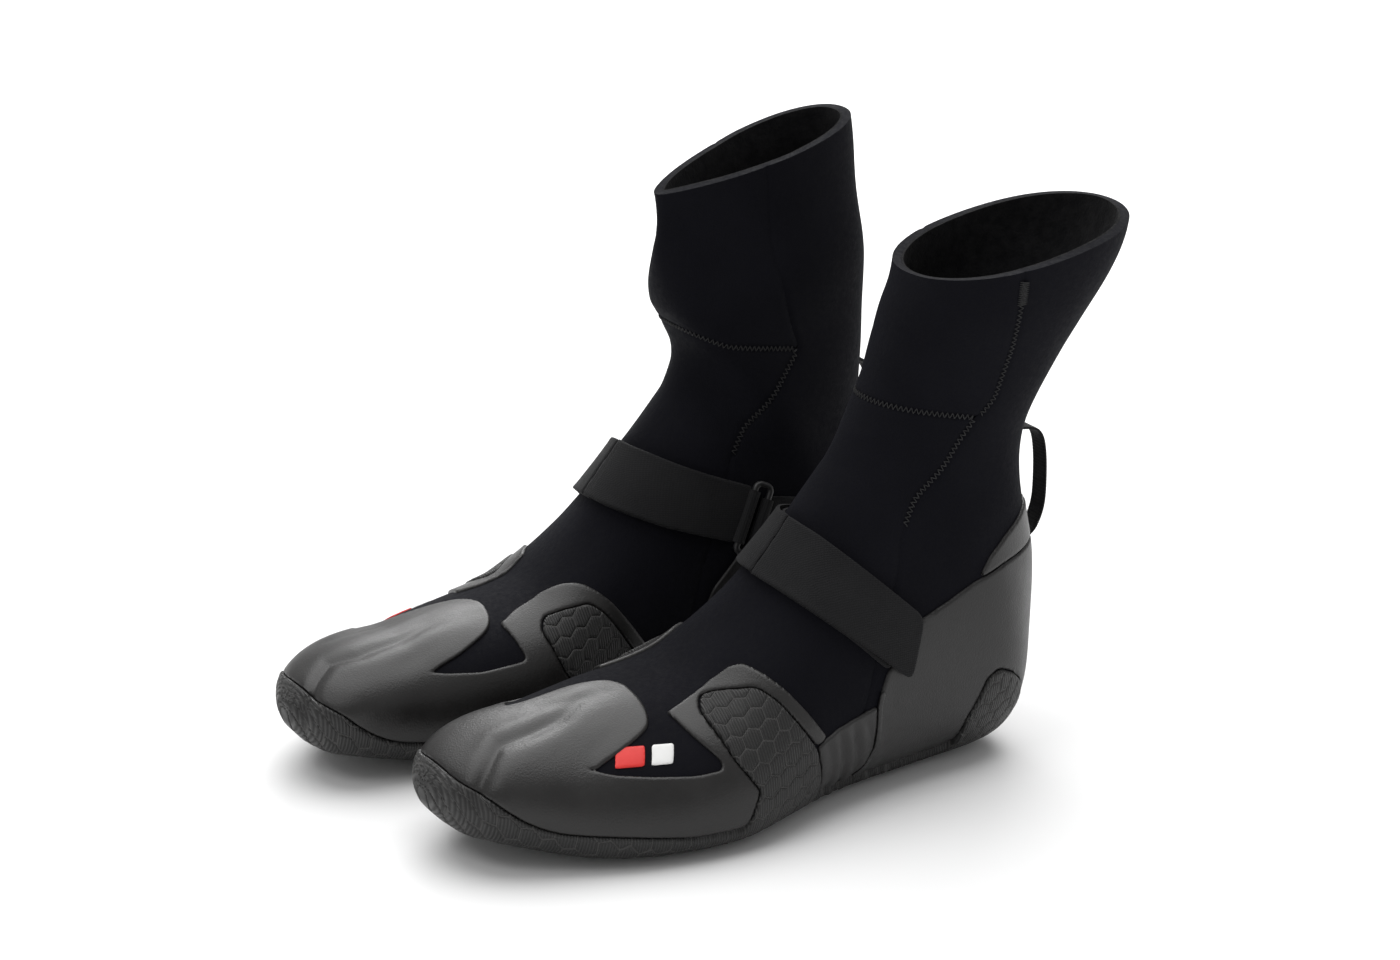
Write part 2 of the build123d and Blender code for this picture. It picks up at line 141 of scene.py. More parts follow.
# Shaft: z, and how far its front and its rear edge go back.
SHAFT_SETTLE = {
    "left": [(101, 0, 0), (128, -2, 0), (146, -1.5, 1), (160, -4, 1.5), (174, -2, 2),
             (190, -1, 3), (200, 0, 3.5), (255, 0, 2)],
    "right": [(101, 0, 0), (128, -2, 0), (146, -1.5, 0), (160, -5.5, 0), (174, -11.5, 0),
              (188, -13.5, 0), (203, -11, -0.5), (223, -7.5, -2), (243, -6, -3), (275, -6, -5)],
}
SHAFT_FRONT = {
    "left": [(101, 156), (146, 201), (174, 217), (203, 225), (253, 238)],
    "right": [(101, 156), (146, 201), (174, 217), (188, 211), (203, 205), (243, 199)],
}
SHAFT_REAR = {
    "left": [(92, 300), (146, 292.5), (200, 315), (253, 338.5)],
    "right": [(92, 300), (146, 303), (208, 304), (273, 300.5)],
}
# Collar: z where its own shift starts and is full, the front's rise, the rear's extra.
COLLAR_SETTLE = {"left": (190, 228, 2.5, -5.5), "right": (200, 240, 0, -1.0)}
# Where the big crease over the toes runs, (y, a).
CREASE = {
    "left": [(11.5, 23), (20, 18), (28, 11), (43, 10.5), (60, 7.5), (73, 1.4)],
    "right": [(5.3, -18.7), (12, -12.9), (20.6, -7.6), (33, -12.7), (53, -12.7), (70, -8.4)],
}
# How near the centre line the wings come, (y, a).
WING_REACH = {
    "left": [(60, -20), (99, 28), (114, 24.6), (125, 22.5), (134, 24), (140, 28)],
    "right": [(60, -20), (99, 24), (109, 19), (123, 17), (137, 21), (142, 26)],
}
RED_MARK = [(68, 44), (72, 50), (84, 50), (80, 44)]
WHITE_MARK = [(83, 44), (87, 50), (96, 50), (92, 44)]
RING_BAR = np.array((-38.6, 219.9, 94.6))
RING_AXIS = np.array((0.13, 0.44, 0.889))
RING_AXIS /= np.linalg.norm(RING_AXIS)
RING_PITCH = 8.0
STRAP_FOLD = 3.5          # a of the line between the free layer and the layer turned back from the ring
FOLD_GAP = 0.4


# ---- small numeric helpers -----------------------------------------------------
def smooth_step(x, low, high):
    t = np.clip((x - low) / (high - low), 0.0, 1.0)
    return t * t * (3 - 2 * t)


def table_at(table, x):
    """The columns of a table of rows, read at x, which is its first column."""
    first, *rest = zip(*table)
    return [np.interp(x, first, column) for column in rest]


def blur(field, sigma, axis, wrap):
    """Gaussian blur along one axis, periodic or with its ends held."""
    reach = int(3 * sigma + 1)
    weights = np.exp(-0.5 * (np.arange(-reach, reach + 1) / sigma) ** 2)
    weights /= weights.sum()
    pad = [(0, 0)] * field.ndim
    pad[axis] = (reach, reach)
    ends = {"mode": "wrap"} if wrap else {"mode": "reflect", "reflect_type": "odd"}
    wide = np.moveaxis(np.pad(field, pad, **ends), axis, 0)
    size = field.shape[axis]
    out = sum(w * wide[k:k + size] for k, w in enumerate(weights))
    return np.moveaxis(out, 0, axis)


def run_length(points):
    """Length along a run of points, from its start to each of them."""
    return np.concatenate(([0], np.cumsum(np.linalg.norm(np.diff(points, axis=0), axis=1))))


def along_run(at, run, values):
    return np.stack([np.interp(at, run, values[:, k]) for k in range(values.shape[1])], 1)


def unit(vectors):
    return vectors / np.linalg.norm(vectors, axis=-1, keepdims=True)


def catmull_rom(p0, p1, p2, p3, t):
    bend = 2 * p0 - 5 * p1 + 4 * p2 - p3 + t * (3 * (p1 - p2) + p3 - p0)
    return p1 + 0.5 * t * (p2 - p0 + t * bend)


def stretch(field, count, axis, wrap):
    """Catmull-Rom resampling of a grid along one axis."""
    grid = np.moveaxis(field, axis, 0)
    size = grid.shape[0]
    span = size if wrap else size - 1
    at = np.arange(count) * span / (count if wrap else count - 1)
    low = np.minimum(np.floor(at).astype(int), size - (1 if wrap else 2))
    t = (at - low).reshape((-1,) + (1,) * (grid.ndim - 1))

    def take(step):
        index = low + step
        return grid[index % size] if wrap else grid[np.clip(index, 0, size - 1)]

    p0, p1, p2, p3 = take(-1), take(0), take(1), take(2)
    return np.moveaxis(catmull_rom(p0, p1, p2, p3, t), 0, axis)


def rounded(outline, radius):
    """Outline with its corners turned into small curves."""
    pts = [np.array(p, float) for p in outline]
    out = []
    for before, here, after in zip(pts[-1:] + pts[:-1], pts, pts[1:] + pts[:1]):
        one, two = before - here, after - here
        la, lb = np.linalg.norm(one), np.linalg.norm(two)
        start = here + one / la * min(radius, 0.45 * la)
        end = here + two / lb * min(radius, 0.45 * lb)
        for t in np.linspace(0, 1, 5):
            out.append((1 - t) ** 2 * start + 2 * t * (1 - t) * here + t * t * end)
    return np.array(out)


def inside_distance(outline, y, z):
    """Signed distance to a closed outline, positive inside."""
    best = line_distance(np.concatenate((outline, outline[:1])), y, z)
    inside = np.zeros(y.shape, bool)
    for (ya, za), (yb, zb) in zip(outline, np.roll(outline, -1, axis=0)):
        dy, dz = yb - ya, zb - za
        crosses = (za > z) != (zb > z)
        if abs(dz) > 1e-12:
            inside ^= crosses & (y < (z - za) * dy / dz + ya)
    return np.where(inside, best, -best)


def line_distance(line, y, z):
    """Distance to an open line."""
    best = np.full(y.shape, 1e9)
    for (ya, za), (yb, zb) in zip(line[:-1], line[1:]):
        dy, dz = yb - ya, zb - za
        t = np.clip(((y - ya) * dy + (z - za) * dz) / (dy * dy + dz * dz + 1e-12), 0, 1)
        best = np.minimum(best, np.hypot(y - ya - t * dy, z - za - t * dz))
    return best


# ---- the boot's skin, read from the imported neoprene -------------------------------
class Boot:
    """One boot: way is 1 for the left and -1 for the right; a collar is the height of
    its cut at FAN_Y and its slope in degrees, first in the frame and then as worn."""

    def __init__(self, tag, way, frame_collar, collar, shaft_seam):
        self.tag, self.way, self.collar, self.shaft_seam = tag, way, collar, shaft_seam
        self.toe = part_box(tag + "_vamp_panel")[0][1] / MM - TOE_SETBACK
        self.base = self.settled(self.read_skin(*frame_collar))
        self.grids = {}

    def collar_z(self, y):
        """Height of the collar's cut, seen from the side."""
        return self.collar[0] + math.tan(math.radians(self.collar[1])) * (y - FAN_Y)

    def world(self, pts):
        pts = np.asarray(pts, float)
        out = np.empty_like(pts)
        out[..., 0] = self.way * (HALF_SPACING + pts[..., 0])
        out[..., 1] = pts[..., 1] + self.toe
        out[..., 2] = pts[..., 2]
        return out * MM

    def settled(self, skin):
        """Skin moved from the plain form to how the worn boot sits."""
        a, y, z = np.moveaxis(skin, -1, 0)
        low_up, top_up, low_out, top_out, width = table_at(FOOT_SETTLE, y)
        (low,), (top,) = table_at(FOOT_LOW, y), table_at(FOOT_TOP, y)
        share = np.clip((z - low) / (top - low), 0, 1)
        up = low_up + (top_up - low_up) * share
        out = low_out + (top_out - low_out) * share + (width - 1) * a
        (front,), (rear,) = table_at(SHAFT_FRONT[self.tag], z), table_at(SHAFT_REAR[self.tag], z)
        front_back, rear_back = table_at(SHAFT_SETTLE[self.tag], z)
        share = np.clip((y - front) / (rear - front), 0, 1)
        back = front_back + (rear_back - front_back) * share
        start, full, at_front, drop = COLLAR_SETTLE[self.tag]
        up = up + smooth_step(z, start, full) * (at_front + drop * share)
        moved = skin + np.stack((out, back, up), -1)
        return blur(moved, 1.0, 0, False)

    def read_skin(self, pivot_z, collar_angle):
        """Rays at the neoprene: upright planes along the foot, then a fan of planes."""
        verts, polys = [], []
        for part in ("vamp_panel", "instep_panel", "shaft_front_panel", "rear_panel"):
            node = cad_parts[self.tag + "_" + part]
            start = len(verts)
            verts += [node.matrix_world @ v.co for v in node.data.vertices]
            polys += [[start + i for i in p.vertices] for p in node.data.polygons]
        tree = BVHTree.FromPolygons(verts, polys)

        def reach(origin, way):
            """Distance in mm from a far origin to the skin."""
            o = Vector(self.world(origin))
            d = Vector((self.way * way[0], way[1], way[2]))
            hit = tree.ray_cast(o, d)
            return None if hit[0] is None else hit[3] / MM

        frames = []
        for y in np.linspace(TOE_SETBACK + 0.4, 148.5, 74):
            middle = min(-5 + y * 0.08, 3.0)
            top = 300 - reach((middle, y, 300), (0, 0, -1))
            low = reach((middle, y, -60), (0, 0, 1)) - 60
            frames.append((np.array((middle, y, (top + low) / 2)), np.array((0, 0, 1.0))))
        for angle in np.linspace(-90, collar_angle - 0.12, 172):
            out = np.array((0, math.cos(math.radians(angle)), math.sin(math.radians(angle))))
            start = np.array((3.0, FAN_Y, pivot_z))
            near = reach(start, out)
            far = 450 - reach(start + 450 * out, -out)
            frames.append((start + out * (near + far) / 2, -out))
        turns = np.linspace(0, 2 * math.pi, 180, endpoint=False)
        radii = np.zeros((len(frames), len(turns)))
        for row, (middle, up) in enumerate(frames):
            for col, turn in enumerate(turns):
                way = np.array((math.sin(turn), 0, 0)) + math.cos(turn) * up
                found = reach(middle + 350 * way, -way)
                radii[row, col] = np.nan if found is None else 350 - found
        # a ray can slip through a seam: such points take their neighbours' value
        near = [(i, j) for i in (-2, -1, 0, 1, 2) for j in (-2, 0, 2)]
        around = np.stack([np.roll(np.roll(radii, i, 0), j, 1) for i, j in near])
        middle_value = np.nanmedian(around, axis=0)
        wrong = ~(np.abs(radii - middle_value) < 1.2)
        wrong[:3] = wrong[-3:] = False
        radii = np.where(wrong, middle_value, radii)
        radii = np.where(np.isnan(radii), middle_value, radii)
        radii = blur(blur(radii, 1.2, 1, True), 1.2, 0, False)
        skin = np.zeros((len(frames), len(turns), 3))
        for row, (middle, up) in enumerate(frames):
            ways = np.sin(turns)[:, None] * np.array((1.0, 0, 0)) + np.cos(turns)[:, None] * up
            skin[row] = middle + radii[row][:, None] * ways
        # equal steps round each half of the girth
        half = 110
        even = np.zeros((len(frames), 2 * half, 3))
        for row in range(len(frames)):
            loop = np.vstack((skin[row], skin[row, :1]))
            for part, start in ((loop[:91], 0), (loop[90:], half)):
                run = run_length(part)
                at = np.linspace(0, run[-1], half + 1)[:-1]
                even[row, start:start + half] = along_run(at, run, part)
        even = blur(even, 1.0, 1, True)
        # rounded closing rows at the toe tip
        first = even[0]
        centre = first.mean(axis=0)
        cap = []
        for share in (0.012, 0.2, 0.4, 0.6, 0.8, 0.93):
            ring = centre + (first - centre) * share
            ring[:, 1] = first[:, 1] - 1.3 * math.sqrt(1 - share ** 2)
            cap.append(ring)
        return np.concatenate((np.array(cap), even))

    def grid(self, rows, columns):
        """Skin resampled, with normals, girth coordinates and relief."""
        key = (rows, columns)
        if key not in self.grids:
            pts = stretch(stretch(self.base, rows, 0, False), columns, 1, True)
            pts, normals = self.with_relief(pts)
            half = columns // 2
            steps = np.linalg.norm(np.diff(np.concatenate((pts, pts[:, :1]), axis=1), axis=1), axis=2)
            girth = np.zeros(pts.shape[:2])
            girth[:, :half + 1] = (np.cumsum(steps[:, :half + 1][:, ::-1], axis=1)[:, ::-1])
            girth[:, :half + 1] -= girth[:, half:half + 1]
            girth[:, half:] = -np.concatenate(
                (np.zeros((rows, 1)), np.cumsum(steps[:, half:-1], axis=1)), axis=1)
            self.grids[key] = pts, normals, girth
        return self.grids[key]

    def normals(self, pts):
        du = np.gradient(pts, axis=0)
        wide = np.concatenate((pts[:, -1:], pts, pts[:, :1]), axis=1)
        dv = (wide[:, 2:] - wide[:, :-2]) / 2
        n = np.cross(dv, du)
        size = np.linalg.norm(n, axis=2, keepdims=True)
        n = n / np.maximum(size, 1e-9)
        middle = pts.mean(axis=1, keepdims=True)
        if np.sum(n[50:] * (pts - middle)[50:]) < 0:
            n = -n
        n[:4] = 0.35 * n[:4] + np.array((0, -1.0, 0)) * np.linspace(1, 0.3, 4)[:, None, None]
        return blur(unit(n), 1.0, 1, True)

    def with_relief(self, pts):
        normals = self.normals(pts)
        a, y, z = pts[..., 0], pts[..., 1], pts[..., 2]
        up = np.clip(normals[..., 2], 0, 1)
        h = relief(self, a, y, z, up)
        pts = pts + normals * h[..., None]
        return pts, self.normals(pts)


def bump(a, y, at, size, turn=0.0):
    """Soft elongated mound on the plan view."""
    c, s = math.cos(math.radians(turn)), math.sin(math.radians(turn))
    da, dy = a - at[0], y - at[1]
    return np.exp(-((da * c + dy * s) / size[0]) ** 2 - ((dy * c - da * s) / size[1]) ** 2)


def relief(boot, a, y, z, up):
    """Creases and dents of the worn-in skin, in mm along the normal."""
    front = 1 - smooth_step(y, 60, 96)
    (crease,) = table_at(CREASE[boot.tag], y)
    valley = np.exp(-((a - crease) / 4.2) ** 2)
    lips = np.exp(-((a - crease - 9.5) / 6.0) ** 2) + np.exp(-((a - crease + 9.0) / 5.0) ** 2)
    over = smooth_step(up, -0.15, 0.35)
    h = over * front * (0.4 * lips - 1.4 * valley * (1 - 0.55 * smooth_step(y, 20, 80)))
    # soft dents across the toe cap
    dents = (
        -1.0 * bump(a, y, (12, 47), (5, 17), 12) + 0.9 * bump(a, y, (22, 40), (7, 20), 10)
        - 0.8 * bump(a, y, (-2, 62), (4.5, 16), -8) - 0.7 * bump(a, y, (30, 66), (5, 14), 20)
        + 0.6 * bump(a, y, (4, 30), (7, 12)) - 0.6 * bump(a, y, (-27, 52), (5, 14), -16)
    )
    h += 0.7 * over * dents
    # upright puckers where the side rand is pulled in under the arch
    rand = np.exp(-((y - 181) / 13) ** 2) * smooth_step(z, 8, 14) * (1 - smooth_step(z, 34, 46))
    side = 1 - smooth_step(up, 0.3, 0.7)
    h += side * rand * 0.75 * np.sin((y + 0.25 * z) * 2 * math.pi / 8.5)
    # long gentle waves in the soft upper
    leg = smooth_step(z, 90, 130)
    h += leg * 0.55 * np.sin(z / 15.0 + 0.05 * y + 1.3 * np.sin(a / 21.0 + boot.way))
    h += leg * 0.4 * np.sin(z / 8.5 - y / 19.0 + 2.0 * np.sin(a / 17.0))
    return h


class Patch:
    """Part of a boot's skin cut out of its grid along an outline."""

    def __init__(self, boot, grid, outline, side=0, radius=1.5, extra=None):
        """side keeps the outer (1) or inner (-1) half; extra is one more distance field."""
        self.boot = boot
        pts, normals, girth = boot.grid(*grid)
        a, y, z = np.moveaxis(pts, -1, 0)
        shape = rounded(outline, radius) if radius else np.array(outline, float)
        field = inside_distance(shape, y, z)
        field = field / self.slope(field, pts)
        if side:
            field = np.minimum(field, a * side)
        if extra is not None:
            field = np.minimum(field, extra(a, y, z))
        self.cut(field, pts, normals, girth)

    @staticmethod
    def slope(field, pts):
        """How fast a side-view distance grows along the skin."""
        du = np.linalg.norm(np.gradient(pts, axis=0), axis=2)
        fu = np.gradient(field, axis=0) / np.maximum(du, 1e-6)
        wide = np.concatenate((pts[:, -1:], pts, pts[:, :1]), axis=1)
        dv = np.linalg.norm((wide[:, 2:] - wide[:, :-2]) / 2, axis=2)
        wf = np.concatenate((field[:, -1:], field, field[:, :1]), axis=1)
        fv = (wf[:, 2:] - wf[:, :-2]) / 2 / np.maximum(dv, 1e-6)
        rate = np.clip(np.hypot(fu, fv), 0.12, 1.0)
        return blur(blur(rate, 1.5, 0, False), 1.5, 1, True)

    def cut(self, field, pts, normals, girth):
        rows, columns = field.shape
        index = np.arange(rows * columns).reshape(rows, columns)
        right = np.roll(index, -1, axis=1)
        a, b, c, d = index[:-1], right[:-1], right[1:], index[1:]
        even = (np.add.outer(np.arange(rows - 1), np.arange(columns)) % 2 == 0)
        one = np.where(even[..., None], np.stack((a, b, c), -1), np.stack((a, b, d), -1))
        two = np.where(even[..., None], np.stack((a, c, d), -1), np.stack((b, c, d), -1))
        tris = np.concatenate((one.reshape(-1, 3), two.reshape(-1, 3)))
        f = field.ravel()
        f = np.where(np.abs(f) < 1e-4, 1e-4, f)
        keep = f > 0
        count = keep[tris].sum(axis=1)
        whole = tris[count == 3]

        def split(group, odd_inside):
            mark = keep[group] if odd_inside else ~keep[group]
            first = mark.argmax(axis=1)
            return np.stack([group[np.arange(len(group)), (first + k) % 3] for k in range(3)], axis=1)

        single = split(tris[count == 1], True)
        double = split(tris[count == 2], False)
        edges = np.concatenate((single[:, [0, 1]], single[:, [0, 2]], double[:, [0, 1]], double[:, [0, 2]]))
        edges.sort(axis=1)
        unique, back = np.unique(edges, axis=0, return_inverse=True)
        back = back.ravel() + len(f)
        s, dn = len(single), len(double)
        s1, s2, d1, d2 = back[:s], back[s:2 * s], back[2 * s:2 * s + dn], back[2 * s + dn:]
        tris = np.concatenate((
            whole,
            np.stack((single[:, 0], s1, s2), 1),
            np.stack((d1, double[:, 1], double[:, 2]), 1),
            np.stack((d1, double[:, 2], d2), 1),
        ))
        t = f[unique[:, 0]] / (f[unique[:, 0]] - f[unique[:, 1]])
        t = np.clip(t, 0.02, 0.98)

        def carry(values):
            values = values.reshape(len(f), -1)
            one, two = values[unique[:, 0]], values[unique[:, 1]]
            return np.concatenate((values, one * (1 - t)[:, None] + two * t[:, None]))

        every = carry(pts), carry(normals), carry(girth), carry(np.maximum(field, 0))
        every[3][len(f):] = 0
        used, tris = np.unique(tris, return_inverse=True)
        self.tris = tris.reshape(-1, 3)
        self.pts, self.normals, self.girth, self.depth = (e[used] for e in every)
        self.normals = unit(self.normals)
        self.girth, self.depth = self.girth[:, 0], self.depth[:, 0]
        # the grid's own open ends count as edge too
        directed = np.concatenate((self.tris[:, [0, 1]], self.tris[:, [1, 2]], self.tris[:, [2, 0]]))
        size = len(self.pts) + 1
        keys = directed[:, 0].astype(np.int64) * size + directed[:, 1]
        reverse = directed[:, 1].astype(np.int64) * size + directed[:, 0]
        self.rim = directed[~np.isin(keys, reverse)]

    def solid(self, name, outer, inner):
        """Closed piece between two heights above the skin; either may be a field."""
        top = self.pts + self.normals * np.reshape(outer, (-1, 1))
        low = self.pts + self.normals * np.reshape(inner, (-1, 1))
        return self.build(name, top, low)

    def build(self, name, top, low):
        """Closed piece from an outer and an inner copy of the patch."""
        n, rim = len(top), self.rim
        walls = np.stack((rim[:, 1], rim[:, 0], rim[:, 0] + n, rim[:, 1] + n), 1)
        groups = [self.tris, self.tris[:, ::-1] + n, walls]
        if self.outward() < 0:
            groups = [g[:, ::-1] for g in groups]
        if self.boot.way < 0:
            groups = [g[:, ::-1] for g in groups]
        faces = [f for g in groups for f in g.tolist()]
        lay = np.stack((self.pts[:, 1], self.girth, self.depth), 1)
        pts = self.boot.world(np.concatenate((top, low)))
        return make_piece(self.boot.tag + "_" + name, pts, faces, np.concatenate((lay, lay)))

    def outward(self):
        p = self.pts[self.tris]
        n = np.cross(p[:, 1] - p[:, 0], p[:, 2] - p[:, 0])
        return np.sum(n * self.normals[self.tris[:, 0]])


def make_piece(name, verts, faces, lay=None):
    mesh = bpy.data.meshes.new(name)
    mesh.from_pydata(np.asarray(verts).tolist(), [], faces)
    if lay is not None:
        store = mesh.attributes.new("lay", "FLOAT_VECTOR", "POINT")
        store.data.foreach_set("vector", np.asarray(lay, np.float32).ravel())
    mesh.shade_smooth()
    mesh.set_sharp_from_angle(angle=SHARP_ANGLE)
    mesh.update()
    obj = bpy.data.objects.new(name, mesh)
    bpy.context.scene.collection.objects.link(obj)
    return obj


def lip(depth, height, radius, foot=0.45):
    """Rounded edge: a piece's height against the distance in from its rim."""
    t = np.clip(depth / radius, 0, 1)
    return height * (foot + (1 - foot) * np.sqrt(1 - (1 - t) ** 2))


# ---- procedural materials ---------------------------------------------------------
class Nodes:
    """Short hand for building a node tree."""

    def __init__(self, name):
        self.material = bpy.data.materials.new(name)
        self.material.use_nodes = True
        self.tree = self.material.node_tree
        self.shader = self.tree.nodes["Principled BSDF"]

    def add(self, kind, **values):
        node = self.tree.nodes.new(kind)
        for key, value in values.items():
            if hasattr(node, key):
                setattr(node, key, value)
            else:
                node.inputs[key.replace("_", " ").title()].default_value = value
        return node

    def link(self, out, into):
        self.tree.links.new(out, into)
        return out

    def math(self, operation, one, two=None, three=None):
        node = self.tree.nodes.new("ShaderNodeMath")
        node.operation = operation
        for socket, value in zip(node.inputs, (one, two, three)):
            if value is None:
                continue
            if isinstance(value, (int, float)):
                socket.default_value = value
            else:
                self.link(value, socket)
        return node.outputs[0]

    def noise(self, coords, scale, detail=3.0, rough=0.5):
        node = self.add("ShaderNodeTexNoise", scale=scale, detail=detail)
        node.inputs["Roughness"].default_value = rough
        self.link(coords, node.inputs["Vector"])
        return node.outputs["Fac"]

    def ramp(self, value, low, high, start=0.0, end=1.0):
        node = self.tree.nodes.new("ShaderNodeMapRange")
        node.clamp = True
        node.inputs["From Min"].default_value = start
        node.inputs["From Max"].default_value = end
        node.inputs["To Min"].default_value = low
        node.inputs["To Max"].default_value = high
        self.link(value, node.inputs["Value"])
        return node.outputs["Result"]

    def mix(self, factor, one, two):
        node = self.tree.nodes.new("ShaderNodeMix")
        node.data_type = "RGBA"
        self.link(factor, node.inputs["Factor"])
        for index, colour in ((6, one), (7, two)):
            if isinstance(colour, tuple):
                node.inputs[index].default_value = (*colour, 1.0)
            else:
                self.link(colour, node.inputs[index])
        return node.outputs[2]

    def place(self):
        return self.tree.nodes.new("ShaderNodeTexCoord").outputs["Object"]

    def lay(self):
        node = self.tree.nodes.new("ShaderNodeAttribute")
        node.attribute_name = "lay"
        split = self.tree.nodes.new("ShaderNodeSeparateXYZ")
        self.link(node.outputs["Vector"], split.inputs[0])
        return split.outputs

    def relief(self, *layers):
        """Stacked bump layers, each (height socket, distance in m, strength)."""
        last = None
        for height, distance, strength in layers:
            node = self.tree.nodes.new("ShaderNodeBump")
            node.inputs["Distance"].default_value = distance
            node.inputs["Strength"].default_value = strength
            self.link(height, node.inputs["Height"])
            if last is not None:
                self.link(last, node.inputs["Normal"])
            last = node.outputs["Normal"]
        self.link(last, self.shader.inputs["Normal"])

    def set(self, **values):
        for key, value in values.items():
            name = key.replace("_", " ").replace("ior", "IOR")
            names = {i.name.lower(): i for i in self.shader.inputs}
            names[name.lower()].default_value = value

    def colour(self, out):
        self.link(out, self.shader.inputs["Base Color"])

    def rough(self, out):
        self.link(out, self.shader.inputs["Roughness"])


def neoprene_material(name, dark, light, sheen):
    n = Nodes(name)
    place = n.place()
    cloud = n.noise(place, 24.0, 4.0)
    knit = n.noise(place, 1500.0, 2.0, 0.6)
    fleck = n.noise(place, 420.0, 2.0, 0.6)
    tone = n.math("ADD", n.math("MULTIPLY", cloud, 0.6), n.math("MULTIPLY", fleck, 0.4))
    n.colour(n.mix(n.ramp(tone, 0.0, 1.0, 0.38, 0.62), dark, light))
    n.rough(n.ramp(fleck, 0.72, 0.9, 0.3, 0.7))
    n.relief((knit, 0.0004, 0.35), (fleck, 0.0007, 0.22), (cloud, 0.002, 0.15))
    n.set(specular_ior_level=0.07, sheen_weight=sheen, sheen_roughness=0.55)
    n.set(sheen_tint=(0.62, 0.66, 0.8, 1.0))
    return n.material


def lining_material():
    n = Nodes("plush_lining")
    place = n.place()
    pile = n.noise(place, 900.0, 3.0, 0.7)
    tuft = n.noise(place, 190.0, 3.0, 0.6)
    n.colour(n.mix(n.ramp(tuft, 0.0, 1.0, 0.35, 0.65), (0.0035, 0.0035, 0.0042), (0.009, 0.0088, 0.0095)))
    n.rough(n.ramp(pile, 0.85, 1.0))
    n.relief((pile, 0.0008, 0.6), (tuft, 0.0016, 0.45))
    n.set(specular_ior_level=0.06, sheen_weight=0.03, sheen_roughness=0.7)
    return n.material


def rubber_material(name, dark, light, low, high):
    """Smooth coated rubber: fine stipple, drawn-in scuffs and paler edges."""
    n = Nodes(name)
    place = n.place()
    lay = n.lay()
    cloud = n.noise(place, 30.0, 4.0, 0.55)
    grain = n.noise(place, 1900.0, 2.0, 0.6)
    stipple = n.add("ShaderNodeTexVoronoi", scale=1150.0)
    n.link(place, stipple.inputs["Vector"])
    scuff = n.noise(place, 150.0, 6.0, 0.75)
    edge = n.ramp(lay[2], 1.0, 0.0, 0.0, 1.6)
    tone = n.math("ADD", cloud, n.math("MULTIPLY", scuff, 0.35))
    body = n.mix(n.ramp(tone, 0.0, 1.0, 0.5, 0.85), dark, light)
    rim = tuple(min(1.0, c * 1.45) for c in light)
    n.colour(n.mix(n.math("MULTIPLY", edge, 0.35), body, rim))
    wear = n.math("ADD", n.math("MULTIPLY", cloud, 0.6), n.math("MULTIPLY", scuff, 0.4))
    n.rough(n.ramp(wear, low, high, 0.35, 0.65))
    n.relief((stipple.outputs["Distance"], 0.00025, 0.28), (grain, 0.0002, 0.3),
             (scuff, 0.0006, 0.12), (cloud, 0.003, 0.10))
    n.set(specular_ior_level=0.42)
    return n.material


def hexes(n, x, y, size):
    """Distance from the nearest cell wall of a honeycomb, in the units of x and y."""
    wide, tall = size, size * math.sqrt(3)

    def offset(value, period, shift):
        moved = n.math("ADD", value, period * 50.0 + shift)
        return n.math("SUBTRACT", n.math("MODULO", moved, period), period / 2)

    cells = []
    for shift in (0.0, 0.5):
        u = n.math("ABSOLUTE", offset(x, wide, wide * shift))
        v = n.math("ABSOLUTE", offset(y, tall, tall * shift))
        slant = n.math("ADD", n.math("MULTIPLY", u, 0.5), n.math("MULTIPLY", v, math.sqrt(3) / 2))
        cells.append(n.math("MAXIMUM", u, slant))
    return n.math("SUBTRACT", size / 2, n.math("MINIMUM", *cells))


def sole_material():
    """Moulded rubber: hexagonal cells filled with fine ribs across the boot."""
    n = Nodes("outsole_rubber")
    place = n.place()
    lay = n.lay()
    wall = hexes(n, lay[0], lay[1], HEX_SIZE)
    groove = n.ramp(wall, 0.0, 1.0, 0.12, 0.55)
    phase = n.math("MULTIPLY", lay[0], 2 * math.pi / RIB_PITCH)
    rib = n.math("ADD", n.math("MULTIPLY", n.math("SINE", phase), 0.5), 0.5)
    rib = n.math("MULTIPLY", rib, groove)
    cloud = n.noise(place, 34.0, 4.0)
    grain = n.noise(place, 1500.0, 2.0)
    body = n.mix(n.ramp(cloud, 0.0, 1.0, 0.35, 0.65), (0.0050, 0.0049, 0.0050), (0.0085, 0.0083, 0.0083))
    ribbed = n.mix(n.math("MULTIPLY", rib, 0.6), body, (0.026, 0.0255, 0.025))
    n.colour(n.mix(n.math("SUBTRACT", 1.0, groove), ribbed, (0.040, 0.039, 0.038)))
    n.rough(n.ramp(rib, 0.62, 0.42))
    n.relief((rib, 0.0005, 0.55), (groove, 0.0006, 0.5), (grain, 0.0002, 0.2))
    n.set(specular_ior_level=0.42)
    return n.material


